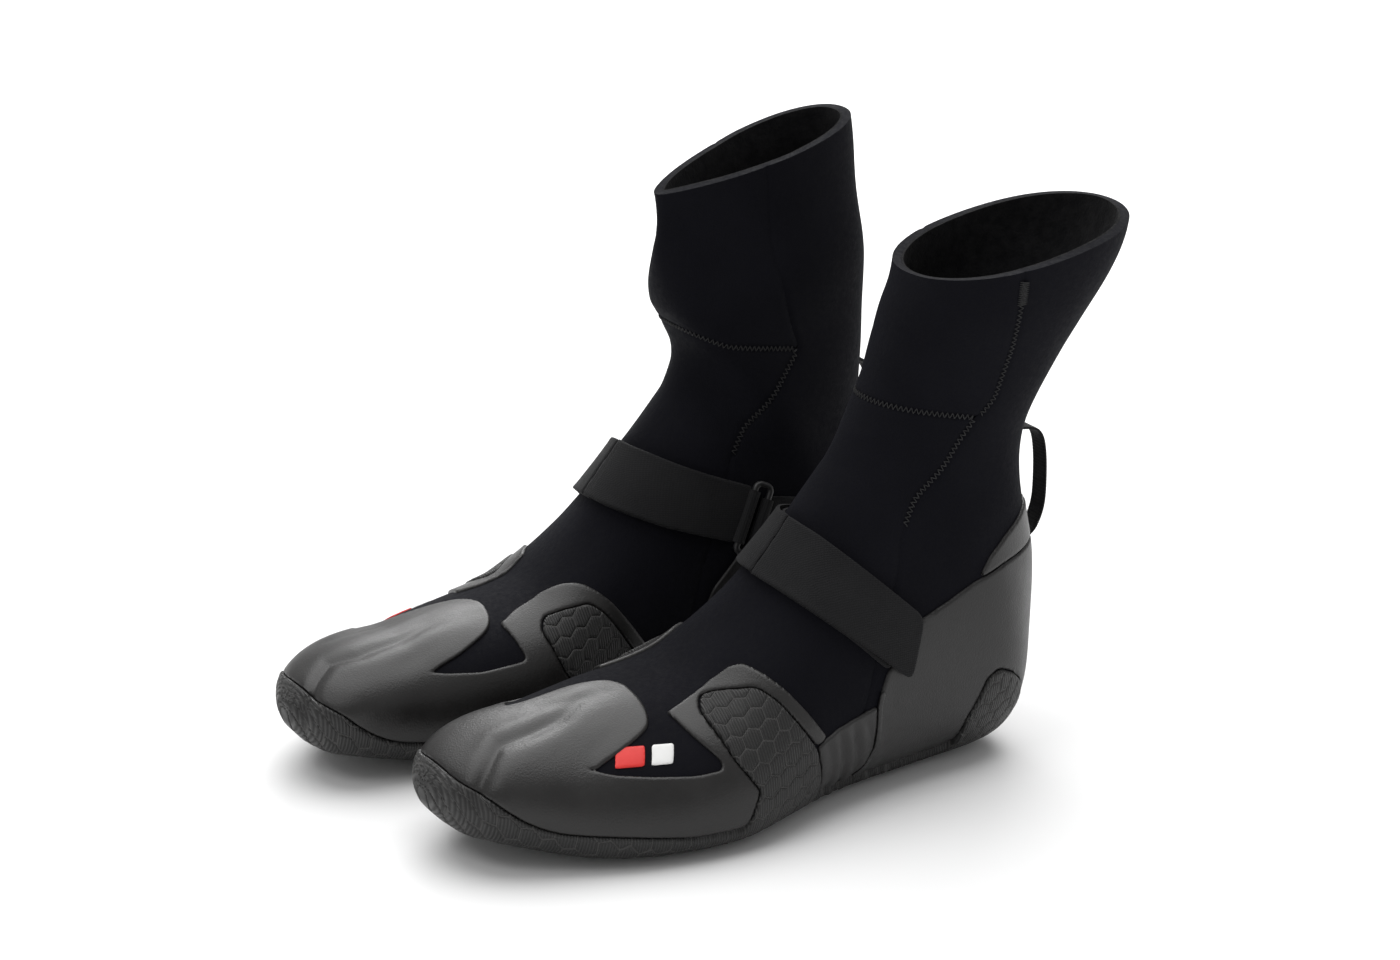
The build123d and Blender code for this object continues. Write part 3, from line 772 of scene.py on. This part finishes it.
def webbing_material(name, dark, light, along, across, fuzz=0.03):
    """Woven tape: rows of picks across it and fine warp lines along it."""
    n = Nodes(name)
    place = n.place()
    lay = n.lay()
    picks = n.math("SINE", n.math("MULTIPLY", lay[0], 2 * math.pi / along))
    warps = n.math("SINE", n.math("MULTIPLY", lay[1], 2 * math.pi / across))
    crossing = n.math("MULTIPLY", n.math("MULTIPLY", picks, warps), 0.25)
    weave = n.math("ADD", n.math("MULTIPLY", picks, 0.25), crossing)
    weave = n.math("ADD", weave, 0.5)
    cloud = n.noise(place, 60.0, 4.0)
    fibre = n.noise(place, 1300.0, 3.0, 0.7)
    tone = n.math("ADD", n.math("MULTIPLY", weave, 0.55), n.math("MULTIPLY", cloud, 0.45))
    n.colour(n.mix(n.ramp(tone, 0.0, 1.0, 0.2, 0.8), dark, light))
    n.rough(n.ramp(fibre, 0.62, 0.9))
    n.relief((weave, 0.00035, 0.5), (fibre, 0.0003, 0.4))
    n.set(specular_ior_level=0.16, sheen_weight=fuzz, sheen_roughness=0.5)
    return n.material


def pile_material(name, colour, grain):
    n = Nodes(name)
    place = n.place()
    fuzz = n.noise(place, grain, 4.0, 0.8)
    tuft = n.noise(place, grain / 4, 3.0, 0.6)
    light = tuple(2.2 * c for c in colour)
    n.colour(n.mix(n.ramp(fuzz, 0.0, 1.0, 0.3, 0.7), colour, light))
    n.rough(n.ramp(tuft, 0.85, 1.0))
    n.relief((fuzz, 0.0008, 0.8), (tuft, 0.001, 0.4))
    n.set(specular_ior_level=0.08, sheen_weight=0.06, sheen_roughness=0.6)
    return n.material


def thread_material():
    n = Nodes("thread")
    place = n.place()
    ply = n.add("ShaderNodeTexWave", scale=900.0, distortion=2.0)
    n.link(place, ply.inputs["Vector"])
    n.colour(n.mix(ply.outputs["Fac"], (0.006, 0.006, 0.0065), (0.021, 0.021, 0.022)))
    n.rough(n.ramp(ply.outputs["Fac"], 0.5, 0.75))
    n.relief((ply.outputs["Fac"], 0.0002, 0.5))
    n.set(specular_ior_level=0.35)
    return n.material


def print_material(name, colour, dark):
    n = Nodes(name)
    place = n.place()
    cloud = n.noise(place, 90.0, 4.0)
    grain = n.noise(place, 1400.0, 2.0)
    n.colour(n.mix(n.ramp(cloud, 0.0, 1.0, 0.35, 0.75), colour, dark))
    n.rough(n.ramp(grain, 0.38, 0.55))
    n.relief((grain, 0.0002, 0.3))
    n.set(specular_ior_level=0.4)
    return n.material


def plastic_material():
    n = Nodes("ring_plastic")
    place = n.place()
    cloud = n.noise(place, 120.0, 5.0)
    grain = n.noise(place, 2200.0, 2.0)
    n.colour(n.mix(n.ramp(cloud, 0.0, 1.0, 0.3, 0.7), (0.008, 0.008, 0.009), (0.016, 0.016, 0.017)))
    n.rough(n.ramp(cloud, 0.3, 0.45))
    n.relief((grain, 0.0001, 0.25), (cloud, 0.0005, 0.1))
    n.set(specular_ior_level=0.5)
    return n.material


def foam_material():
    n = Nodes("footbed")
    place = n.place()
    cell = n.add("ShaderNodeTexVoronoi", scale=260.0)
    n.link(place, cell.inputs["Vector"])
    cloud = n.noise(place, 45.0, 4.0)
    n.colour(n.mix(n.ramp(cloud, 0.0, 1.0, 0.3, 0.7), (0.010, 0.010, 0.011), (0.019, 0.019, 0.021)))
    n.rough(n.ramp(cloud, 0.85, 0.97))
    n.relief((cell.outputs["Distance"], 0.0009, 0.5), (cloud, 0.0015, 0.2))
    n.set(specular_ior_level=0.15, sheen_weight=0.1)
    return n.material


HEX_SIZE = 8.6
RIB_PITCH = 1.25
NEOPRENE = neoprene_material("neoprene", (0.0034, 0.0034, 0.0052), (0.0054, 0.0054, 0.0078), 0.012)
LINING = lining_material()
OVERLAY_RUBBER = rubber_material(
    "overlay_rubber", (0.0095, 0.0090, 0.0088), (0.0150, 0.0142, 0.0140), 0.34, 0.46)
COUNTER_RUBBER = rubber_material(
    "counter_rubber", (0.0075, 0.0070, 0.0072), (0.0120, 0.0114, 0.0114), 0.36, 0.50)
SOLE_RUBBER = sole_material()
STRAP = webbing_material("strap_webbing", (0.0050, 0.0050, 0.0056), (0.0135, 0.0135, 0.0145), 1.1, 0.8)
TAPE = webbing_material("loop_webbing", (0.005, 0.005, 0.0056), (0.016, 0.016, 0.017), 1.6, 1.4)
LOOP_FUZZ = pile_material("loop_pile", (0.006, 0.006, 0.007), 900.0)
HOOK_FUZZ = pile_material("hook_pile", (0.008, 0.008, 0.009), 700.0)
THREAD = thread_material()
RED = print_material("red_print", (0.72, 0.035, 0.030), (0.60, 0.022, 0.020))
WHITE = print_material("white_print", (0.80, 0.80, 0.79), (0.70, 0.70, 0.69))
PLASTIC = plastic_material()
FOAM = foam_material()


def finish_piece(boot, obj, material, slot, *nodes, body="boot"):
    """Material, body and the CAD nodes that a piece stands for; slot is not used."""
    obj.data.materials.clear()
    obj.data.materials.append(material)
    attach(obj, boot.tag + "_" + body)
    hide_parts(*[boot.tag + "_" + node for node in nodes])
    return obj


# ---- the boots ------------------------------------------------------------------
NEOPRENE_DEEP = 4.0       # mm below the skin: inner face of the neoprene
LINING_DEEP = 5.0         # inner face of the lining
RUBBER_HIGH = 1.35        # outer face of the smooth rubber
SOLE_HIGH = 2.2           # outer face of the sole's sides
SOLE_DROP = 3.2           # more of it under the foot
UNDER_STRAP = (0.35, 1.45)  # inner and outer face of the sewn strap layer
OVER_STRAP = (3.3, 4.4)   # and of the free layer
EDGE_ROUND = 0.35         # mm over which a strap thins at its edge
STITCH_STEP = 1.15        # mm from one stitch to the next
WHOLE = [(-40, -40), (420, -40), (420, 400), (-40, 400)]     # round all of a boot
SOFT = (330, 224)         # grid for neoprene
FINE = (470, 330)         # grid for rubber and straps
COARSE = (200, 130)       # grid for the lining


def seam_dip(depth, width=1.3, deep=0.75):
    return -deep * np.exp(-(depth / width) ** 2)


def neoprene_panels(boot):
    """The three neoprene skins, dipped along the seams where they meet."""
    seam = boot.shaft_seam
    upper = [(y, z) for y, z in reversed(seam) if z < boot.collar_z(y) - 3]
    over_collar = (seam[0][0], boot.collar_z(seam[0][0]) + 40)
    front = [(150, 200.2), (180, 190.2), (217, 174.2), (253.4, 168.4)] + upper
    front += [over_collar, (100, 330), (100, 200)]
    rear = VAMP[1:9] + upper + [over_collar, (420, 400), (420, -40), (190, -40)]
    for name, outline, nodes in (
        ("vamp_skin", [(-40, -40)] + VAMP[1:-1] + [(-40, 190)], ("vamp_panel", "instep_panel")),
        ("shaft_front_skin", front, ("shaft_front_panel",)),
        ("rear_skin", rear, ("rear_panel",)),
    ):
        patch = Patch(boot, SOFT, outline, radius=1.0)
        top = seam_dip(patch.depth)
        obj = patch.solid(name, top, -NEOPRENE_DEEP)
        finish_piece(boot, obj, NEOPRENE, "neoprene", *nodes)
        if name == "vamp_skin":
            boot.seams = patch


def rubber(boot, name, outline, material, node, side=0, radius=2.0, extra=None, height=RUBBER_HIGH):
    """Smooth rubber piece with a rounded edge, sunk a little into the skin."""
    patch = Patch(boot, FINE, outline, side=side, radius=radius, extra=extra)
    obj = patch.solid(name, lip(patch.depth, height, 0.9), -0.15)
    finish_piece(boot, obj, material, "overlay_rubber", node)


def outsole(boot):
    """Cup sole: hexagonal cells, fine ribs and a flat tread under the foot."""
    patch = Patch(boot, FINE, SOLE, radius=2.4)
    y = patch.pts[:, 1]
    down = np.clip(-patch.normals[:, 2], 0, 1)
    height = lip(patch.depth, SOLE_HIGH, 1.1, 0.5)
    wall = hex_wall(y, patch.girth, HEX_SIZE)
    groove = 1 - smooth_step(wall, 0.1, 0.8)
    away = smooth_step(patch.depth, 0.6, 1.8)
    height = height - 0.45 * groove * away
    top = patch.pts + patch.normals * height[:, None]
    top[:, 2] -= SOLE_DROP * smooth_step(down, 0.35, 0.95)
    lowest = 0.35 * groove * smooth_step(down, 0.5, 0.9)
    top[:, 2] = np.maximum(top[:, 2], lowest)
    obj = patch.build("sole", top, patch.pts - 0.1 * patch.normals)
    finish_piece(boot, obj, SOLE_RUBBER, "outsole_rubber", "outsole")


def hex_wall(x, y, size):
    tall = size * math.sqrt(3)
    best = np.full(x.shape, 1e9)
    for shift in (0.0, 0.5):
        u = np.abs((x + 50 * size + size * shift) % size - size / 2)
        v = np.abs((y + 50 * tall + tall * shift) % tall - tall / 2)
        best = np.minimum(best, np.maximum(u, 0.5 * u + math.sqrt(3) / 2 * v))
    return size / 2 - best


def lining(boot):
    """Thin plush layer inside the neoprene; returns it and the area of one face."""
    patch = Patch(boot, COARSE, WHOLE, radius=0)
    obj = patch.solid("inner_lining", -NEOPRENE_DEEP - 0.05, -LINING_DEEP)
    finish_piece(boot, obj, LINING, "lining", "lining")
    area = float(sum(p.area for p in obj.data.polygons)) / 2
    return obj, area


def padded_copy(boot, name, node, material, slot, voxel, swell):
    """Soft inner piece: the CAD solid's space, remeshed, puffed and smoothed."""
    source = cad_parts[boot.tag + "_" + node]
    mesh = source.data.copy()
    mesh.transform(source.matrix_world)
    obj = bpy.data.objects.new(boot.tag + "_" + name, mesh)
    bpy.context.scene.collection.objects.link(obj)
    remesh = obj.modifiers.new("remesh", "REMESH")
    remesh.mode = "VOXEL"
    remesh.voxel_size = voxel
    smooth = obj.modifiers.new("smooth", "SMOOTH")
    smooth.iterations, smooth.factor = 6, 0.5
    graph = bpy.context.evaluated_depsgraph_get()
    made = bpy.data.meshes.new_from_object(obj.evaluated_get(graph))
    obj.modifiers.clear()
    obj.data = made
    size = len(made.vertices)
    co, no = np.empty(size * 3), np.empty(size * 3)
    made.vertices.foreach_get("co", co)
    made.vertices.foreach_get("normal", no)
    co, no = co.reshape(-1, 3), no.reshape(-1, 3)
    quilt = np.sin(co[:, 0] * 2 * math.pi / 0.014) * np.sin(co[:, 1] * 2 * math.pi / 0.014)
    co = co + no * (swell * quilt)[:, None]
    made.vertices.foreach_set("co", co.ravel())
    made.shade_smooth()
    made.update()
    finish_piece(boot, obj, material, slot, node)
    return obj


# ---- seams ---------------------------------------------------------------------
def chain(points, start, gap=4.0):
    """Orders scattered points into one run, nearest next."""
    left = list(range(len(points)))
    here = min(left, key=lambda k: np.linalg.norm(points[k] - start))
    run = [here]
    left.remove(here)
    while left:
        rest = np.array(left)
        d = np.linalg.norm(points[rest] - points[run[-1]], axis=1)
        k = int(d.argmin())
        if d[k] > gap:
            break
        run.append(left.pop(k))
    return run


def even_run(points, normals, step):
    """Points and normals at equal steps along a run, lightly smoothed."""
    pts = blur(points, 3.0, 0, False) if len(points) > 20 else points
    run = run_length(pts)
    at = np.arange(0, run[-1], step)
    return along_run(at, run, pts), unit(along_run(at, run, normals))


def ring_faces(rows, sides):
    """Quads between rows of points that each close on themselves."""
    faces = []
    for i in range(rows - 1):
        for j in range(sides):
            a, b = i * sides + j, i * sides + (j + 1) % sides
            faces.append([a, b, b + sides, a + sides])
    return faces


def capped_faces(rows, sides):
    """The same, with its two ends closed."""
    ends = [list(range(sides))[::-1], [(rows - 1) * sides + j for j in range(sides)]]
    return ring_faces(rows, sides) + ends


def tube(path, radius, sides=6):
    """Closed tube along a short path; returns vertices and faces."""
    path = np.asarray(path, float)
    along = unit(np.gradient(path, axis=0))
    ref = np.array((0.31, 0.22, 0.92)) if abs(along[0][2]) < 0.8 else np.array((1.0, 0.1, 0.2))
    verts = []
    for k, (p, t) in enumerate(zip(path, along)):
        u = unit(np.cross(t, ref))
        v = np.cross(t, u)
        r = radius * (0.55 if k in (0, len(path) - 1) else 1.0)
        for s in range(sides):
            turn = 2 * math.pi * s / sides
            verts.append(p + r * (math.cos(turn) * u + math.sin(turn) * v))
    return verts, capped_faces(len(path), sides)


def stitches(boot, name, pts, normals, width, radius, lift=0.05):
    """Zigzag of short threads over a seam."""
    verts, faces = [], []
    across = np.cross(normals, unit(np.gradient(pts, axis=0)))
    for k in range(len(pts) - 1):
        way = 1 if k % 2 else -1
        a = pts[k] + across[k] * way * width / 2
        b = pts[k + 1] - across[k + 1] * way * width / 2
        path = []
        for t in np.linspace(0, 1, 5):
            rise = lift + radius * (0.9 * math.sin(math.pi * t) - 0.75)
            path.append(a * (1 - t) + b * t + normals[k] * rise)
        v, f = tube(path, radius)
        faces += [[i + len(verts) for i in face] for face in f]
        verts += v
    if boot.way < 0:
        faces = [f[::-1] for f in faces]
    return make_piece(boot.tag + "_" + name, boot.world(verts), faces)


def seam_threads(boot):
    """Zigzag threads over the instep's seam and the shaft's upright seam."""
    pts, normals, _ = boot.grid(*SOFT)
    edge = np.unique(boot.seams.rim)
    p, n = boot.seams.pts[edge], boot.seams.normals[edge]
    near = (line_distance(INSTEP_SEAM, p[:, 1], p[:, 2]) < 0.6) & (p[:, 2] > 122)
    p, n = p[near], n[near]
    start = p[np.argmin(p[:, 2] - 0.001 * p[:, 0])]
    run = chain(p, start)
    obj = stitches(boot, "instep_stitches", *even_run(p[run], n[run], STITCH_STEP), 2.5, 0.26)
    finish_piece(boot, obj, THREAD, "thread", "instep_seam")
    seam = np.array([(y, z) for y, z in boot.shaft_seam if z > 160], float)
    run = run_length(seam)
    line = along_run(np.linspace(0, run[-1], 80), run, seam)
    outer = pts[..., 0] > 0
    found_p, found_n = [], []
    cand_p, cand_n = pts[outer], normals[outer]
    for y, z in line:
        if z > boot.collar_z(y) - 4:
            continue
        d = (cand_p[:, 1] - y) ** 2 + (cand_p[:, 2] - z) ** 2
        best = np.argsort(d)[:4]
        w = 1 / (d[best] + 0.05)
        w /= w.sum()
        found_p.append((cand_p[best] * w[:, None]).sum(0))
        found_n.append((cand_n[best] * w[:, None]).sum(0))
        found_p[-1][1:] = y, z
    boot.shaft_run = even_run(np.array(found_p), np.array(found_n), STITCH_STEP)
    obj = stitches(boot, "shaft_stitches", *boot.shaft_run, 2.3, 0.24)
    finish_piece(boot, obj, THREAD, "thread", "shaft_seam")


def collar_tab(boot):
    """Dense bar tack over the shaft seam, just under the collar."""
    pts, normals = boot.shaft_run
    height = boot.collar_z(pts[:, 1]) - pts[:, 2]
    keep = (height > 4) & (height < 17)
    obj = stitches(boot, "collar_tack", *even_run(pts[keep], normals[keep], 0.5), 4.4, 0.3, 0.35)
    finish_piece(boot, obj, THREAD, "thread", "collar_tab")


# ---- straps --------------------------------------------------------------------
def band(boot, name, outline, heights, material, slot, node, side=0, radius=2.5, extra=None,
         turn=None, body="boot"):
    """Flat webbing or pile between two heights, with a thin edge; turn is joined to it."""
    patch = Patch(boot, FINE, outline, side=side, radius=radius, extra=extra)
    low, high = heights
    thick = high - low
    top = high - thick * 0.35 * (1 - np.clip(patch.depth / EDGE_ROUND, 0, 1)) ** 2
    # a woven edge stands a little proud of a flat field
    selvedge = np.exp(-((patch.depth - 1.2) / 0.7) ** 2) * 0.12 * min(1.0, thick)
    obj = patch.solid(name, top + selvedge, low)
    across = (patch.pts[:, 1] + patch.pts[:, 2]) * math.sqrt(0.5)
    lay = np.stack((patch.girth, across, patch.depth), 1)
    lay = np.concatenate((lay, lay)).astype(np.float32)
    obj.data.attributes["lay"].data.foreach_set("vector", lay.ravel())
    if turn is not None:
        obj = joined(obj, turn)
    return finish_piece(boot, obj, material, slot, node, body=body)


def joined(obj, other):
    """Adds another mesh's faces to obj."""
    work = bmesh.new()
    work.from_mesh(obj.data)
    work.from_mesh(other.data)
    work.to_mesh(obj.data)
    work.free()
    obj.data.shade_smooth()
    obj.data.set_sharp_from_angle(angle=SHARP_ANGLE)
    bpy.data.objects.remove(other)
    return obj


def sleeve(boot, middle, half, facing):
    """Webbing turned round a ring bar, closed all the way round."""
    inner, outer = 1.9, 2.95
    turns = np.linspace(0, 2 * math.pi, 40, endpoint=False)
    side = unit(np.cross(RING_AXIS, facing))
    front = np.cross(side, RING_AXIS)
    rows = np.linspace(-half, half, 30)
    verts, lay = [], []
    for radius in (outer, inner):
        for r in rows:
            for t in turns:
                swell = 0.06 * math.sin(r * 2 * math.pi / 1.4) if radius == outer else 0.0
                out = math.cos(t) * front + math.sin(t) * side
                verts.append(middle + RING_AXIS * r + (radius + swell) * out)
                lay.append((t * radius, r, 1.0))
    n, m = len(turns), len(rows)
    faces = ring_faces(m, n)
    faces += [[k + m * n for k in quad[::-1]] for quad in faces]
    for row in (0, m - 1):
        for j in range(n):
            a, b = row * n + j, row * n + (j + 1) % n
            quad = [a, a + m * n, b + m * n, b]
            faces.append(quad if row == 0 else quad[::-1])
    if boot.way < 0:
        faces = [f[::-1] for f in faces]
    return make_piece(boot.tag + "_turn", boot.world(verts), faces, lay)


def straps(boot):
    """Sewn layer, free layer and turned-back layer meeting at the crown, piles, ring and its tape."""
    step = np.array((-0.12, 0.886, -0.42))
    step = unit(step - RING_AXIS * step.dot(RING_AXIS))
    outline = rounded(STRAP_BASE, 4.0)
    inner = rounded(STRAP_INNER, 2.0)

    def base(a, y, z):
        return np.where(a > 0, inside_distance(outline, y, z), inside_distance(inner, y, z))

    def free(a, y, z):
        return a - STRAP_FOLD - FOLD_GAP / 2

    def fixed_part(a, y, z):
        return STRAP_FOLD - FOLD_GAP / 2 - a

    band(boot, "strap_under", WHOLE, UNDER_STRAP, STRAP, "webbing", "strap_base", extra=base)
    band(boot, "loop_patch", LOOP_PILE, (1.5, 2.2), LOOP_FUZZ, "pile", "loop_pile", side=1)
    band(boot, "strap_over", STRAP_OUTER, OVER_STRAP, STRAP, "webbing", "strap_tab", side=1,
         radius=5.0, extra=free, body="tab")
    band(boot, "hook_patch", HOOK_PILE, (2.6, 3.25), HOOK_FUZZ, "pile", "hook_pile", side=1, body="tab")
    turn = sleeve(boot, RING_BAR, 12.8, -step)
    band(boot, "strap_back", STRAP_INNER_LONG, OVER_STRAP, STRAP, "webbing", "strap_return",
         radius=2.0, extra=fixed_part, turn=turn)
    turn = sleeve(boot, RING_BAR + step * RING_PITCH, 10.8, step)
    band(boot, "ring_tape", KEEPER, UNDER_STRAP, STRAP, "webbing", "ring_keeper", side=-1,
         radius=1.0, turn=turn)
    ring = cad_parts[boot.tag + "_strap_ring"]
    ring.data.materials.clear()
    ring.data.materials.append(PLASTIC)


def smooth_path(points, count):
    """Smooth run through a few points, at equal steps."""
    pts = np.array(points, float)
    ends = np.vstack((2 * pts[0] - pts[1], pts, 2 * pts[-1] - pts[-2]))
    out = []
    for k in range(1, len(ends) - 2):
        p0, p1, p2, p3 = ends[k - 1:k + 3]
        for t in np.linspace(0, 1, 16, endpoint=False):
            out.append(catmull_rom(p0, p1, p2, p3, t))
    out.append(pts[-1])
    out = np.array(out)
    run = run_length(out)
    at = np.linspace(0, run[-1], count)
    return along_run(at, run, out), at


def pull_loop(boot, loop_top):
    """Narrow webbing loop down the heel, both ends sewn on."""
    line, at = smooth_path(
        [(loop_top, 147), (309, 143.5), (313.2, 132), (313.6, 110), (309.5, 98), (304, 93)], 110)
    along = unit(np.gradient(line, axis=0))
    normal = np.stack((along[:, 1], -along[:, 0]), 1)
    if normal[50][0] < 0:
        normal = -normal
    shape = []
    for k in range(22):
        turn = 2 * math.pi * k / 22
        c, s = math.cos(turn), math.sin(turn)
        shape.append((5.0 * np.sign(c) * abs(c) ** 0.25, 0.72 * np.sign(s) * abs(s) ** 0.5))
    verts, lay = [], []
    for p, nrm, run in zip(line, normal, at):
        twist = 0.35 * math.sin(run / 9.0)
        for across, high in shape:
            rise = high * (1 + 0.10 * math.cos(run * 2 * math.pi / 1.6)) + twist * (across / 5.0) ** 2 * 0.5
            y, z = p + nrm * rise
            verts.append((across, y, z))
            lay.append((run, across, 1.0))
    faces = capped_faces(len(line), len(shape))
    if boot.way > 0:
        faces = [f[::-1] for f in faces]
    obj = make_piece(boot.tag + "_heel_loop", boot.world(verts), faces, lay)
    finish_piece(boot, obj, TAPE, "webbing", "pull_loop", body="loop")


def trim(boot):
    """Rubber pieces, the counter's raised edge and the two plain marks."""
    outer = rounded(OVERLAY_FRONT + OUTER_WINDOW, 2.5)
    inner = rounded(OVERLAY_FRONT + INNER_WINDOW, 2.5)
    tongue = rounded(TONGUES[boot.tag], 6.0)

    def overlay(a, y, z):
        sides = np.where(a > 0, inside_distance(outer, y, z), inside_distance(inner, y, z))
        (reach,) = table_at(WING_REACH[boot.tag], y)
        sides = np.minimum(sides, np.where(y > 60, np.abs(a) - reach, 99.0))
        return np.maximum(sides, np.minimum(inside_distance(tongue, a, y), z - 44))

    rubber(boot, "toe_overlay_skin", WHOLE, OVERLAY_RUBBER, "toe_overlay", extra=overlay)
    rubber(boot, "side_rand_out", SIDE_RAND, COUNTER_RUBBER, "side_rand_outer", side=1, radius=1.2)
    rubber(boot, "side_rand_in", SIDE_RAND, COUNTER_RUBBER, "side_rand_inner", side=-1, radius=1.2)
    rubber(boot, "counter_skin", COUNTER, COUNTER_RUBBER, "heel_counter", radius=2.5)
    rubber(boot, "heel_patch_skin", HEEL_PATCH, OVERLAY_RUBBER, "heel_patch", radius=2.5, height=1.3)

    def tape(a, y, z):
        return 1.2 - line_distance(COUNTER_TAPE, y, z)

    patch = Patch(boot, FINE, WHOLE, side=1, radius=0, extra=tape)
    obj = patch.solid("counter_edge", 1.4 + lip(patch.depth, 0.45, 0.5), 0.9)
    finish_piece(boot, obj, COUNTER_RUBBER, "overlay_rubber", "counter_tape")
    for name, node, outline, colour, slot in (
        ("mark_red", "emblem_red", RED_MARK, RED, "red_print"),
        ("mark_white", "emblem_white", WHITE_MARK, WHITE, "white_print"),
    ):
        patch = Patch(boot, FINE, outline, side=1, radius=0.6)
        obj = patch.solid(name, 0.2 + lip(patch.depth, 0.5, 0.6), -0.1)
        finish_piece(boot, obj, colour, slot, node)


for tag, way, frame_collar, collar, seam, loop_top in (
    ("left", 1, (209.97, 13.01), (216.92, 10.02),
     [(266, 238), (266, 200), (262, 176), (256, 169)], 296.6),
    ("right", -1, (228.49, 16.47), (230.84, 15.81),
     [(237, 256), (243, 215), (250, 182), (254, 170)], 305.6),
):
    boot = Boot(tag, way, frame_collar, collar, seam)
    neoprene_panels(boot)
    cloth, area = lining(boot)
    outsole(boot)
    trim(boot)
    padded_copy(boot, "footbed", "insole", FOAM, "footbed", 0.0022, 0.00012)
    padded_copy(boot, "divider", "toe_divider", NEOPRENE, "neoprene", 0.0012, 0.00008)
    seam_threads(boot)
    collar_tab(boot)
    straps(boot)
    pull_loop(boot, loop_top)


# ---- floor, light -----------------------------------------------------------------
def plane(name, size, z):
    mesh = bpy.data.meshes.new(name)
    corners = [(-size, -size, z), (size, -size, z), (size, size, z), (-size, size, z)]
    mesh.from_pydata(corners, [], [(0, 1, 2, 3)])
    obj = bpy.data.objects.new(name, mesh)
    bpy.context.scene.collection.objects.link(obj)
    return obj


floor = plane("floor", 12.0, 0.0)
paper = Nodes("floor_paper")
paper.colour(paper.mix(paper.noise(paper.place(), 3.0), (0.86, 0.86, 0.86), (0.885, 0.885, 0.885)))
paper.set(roughness=0.9, specular_ior_level=0.1)
floor.data.materials.append(paper.material)

world = bpy.data.worlds.new("studio")
bpy.context.scene.world = world
world.use_nodes = True
bpy.context.scene.view_settings.view_transform = "Standard"
world.node_tree.nodes["Background"].inputs["Color"].default_value = (1.0, 1.0, 1.0, 1.0)
world.node_tree.nodes["Background"].inputs["Strength"].default_value = 0.45


def soft_light(name, at, to, size, watts):
    light = bpy.data.lights.new(name, "AREA")
    light.shape = "RECTANGLE"
    light.size, light.size_y = size
    light.energy = watts
    obj = bpy.data.objects.new(name, light)
    obj.location = at
    obj.rotation_euler = (Vector(to) - Vector(at)).to_track_quat("-Z", "Y").to_euler()
    bpy.context.scene.collection.objects.link(obj)


sky = bpy.data.lights.new("sky", "SUN")
sky.energy = 2.7
sky.angle = math.radians(70)
sky_lamp = bpy.data.objects.new("sky", sky)
sky_lamp.rotation_euler = Vector((-0.35, 0.15, 1.0)).to_track_quat("Z", "Y").to_euler()
bpy.context.scene.collection.objects.link(sky_lamp)
soft_light("key", (0.3, -1.5, 1.9), (0, 0, 0.1), (1.0, 0.7), 8)
soft_light("rim", (-1.5, 0.9, 1.1), (0, 0, 0.1), (1.2, 0.7), 16)
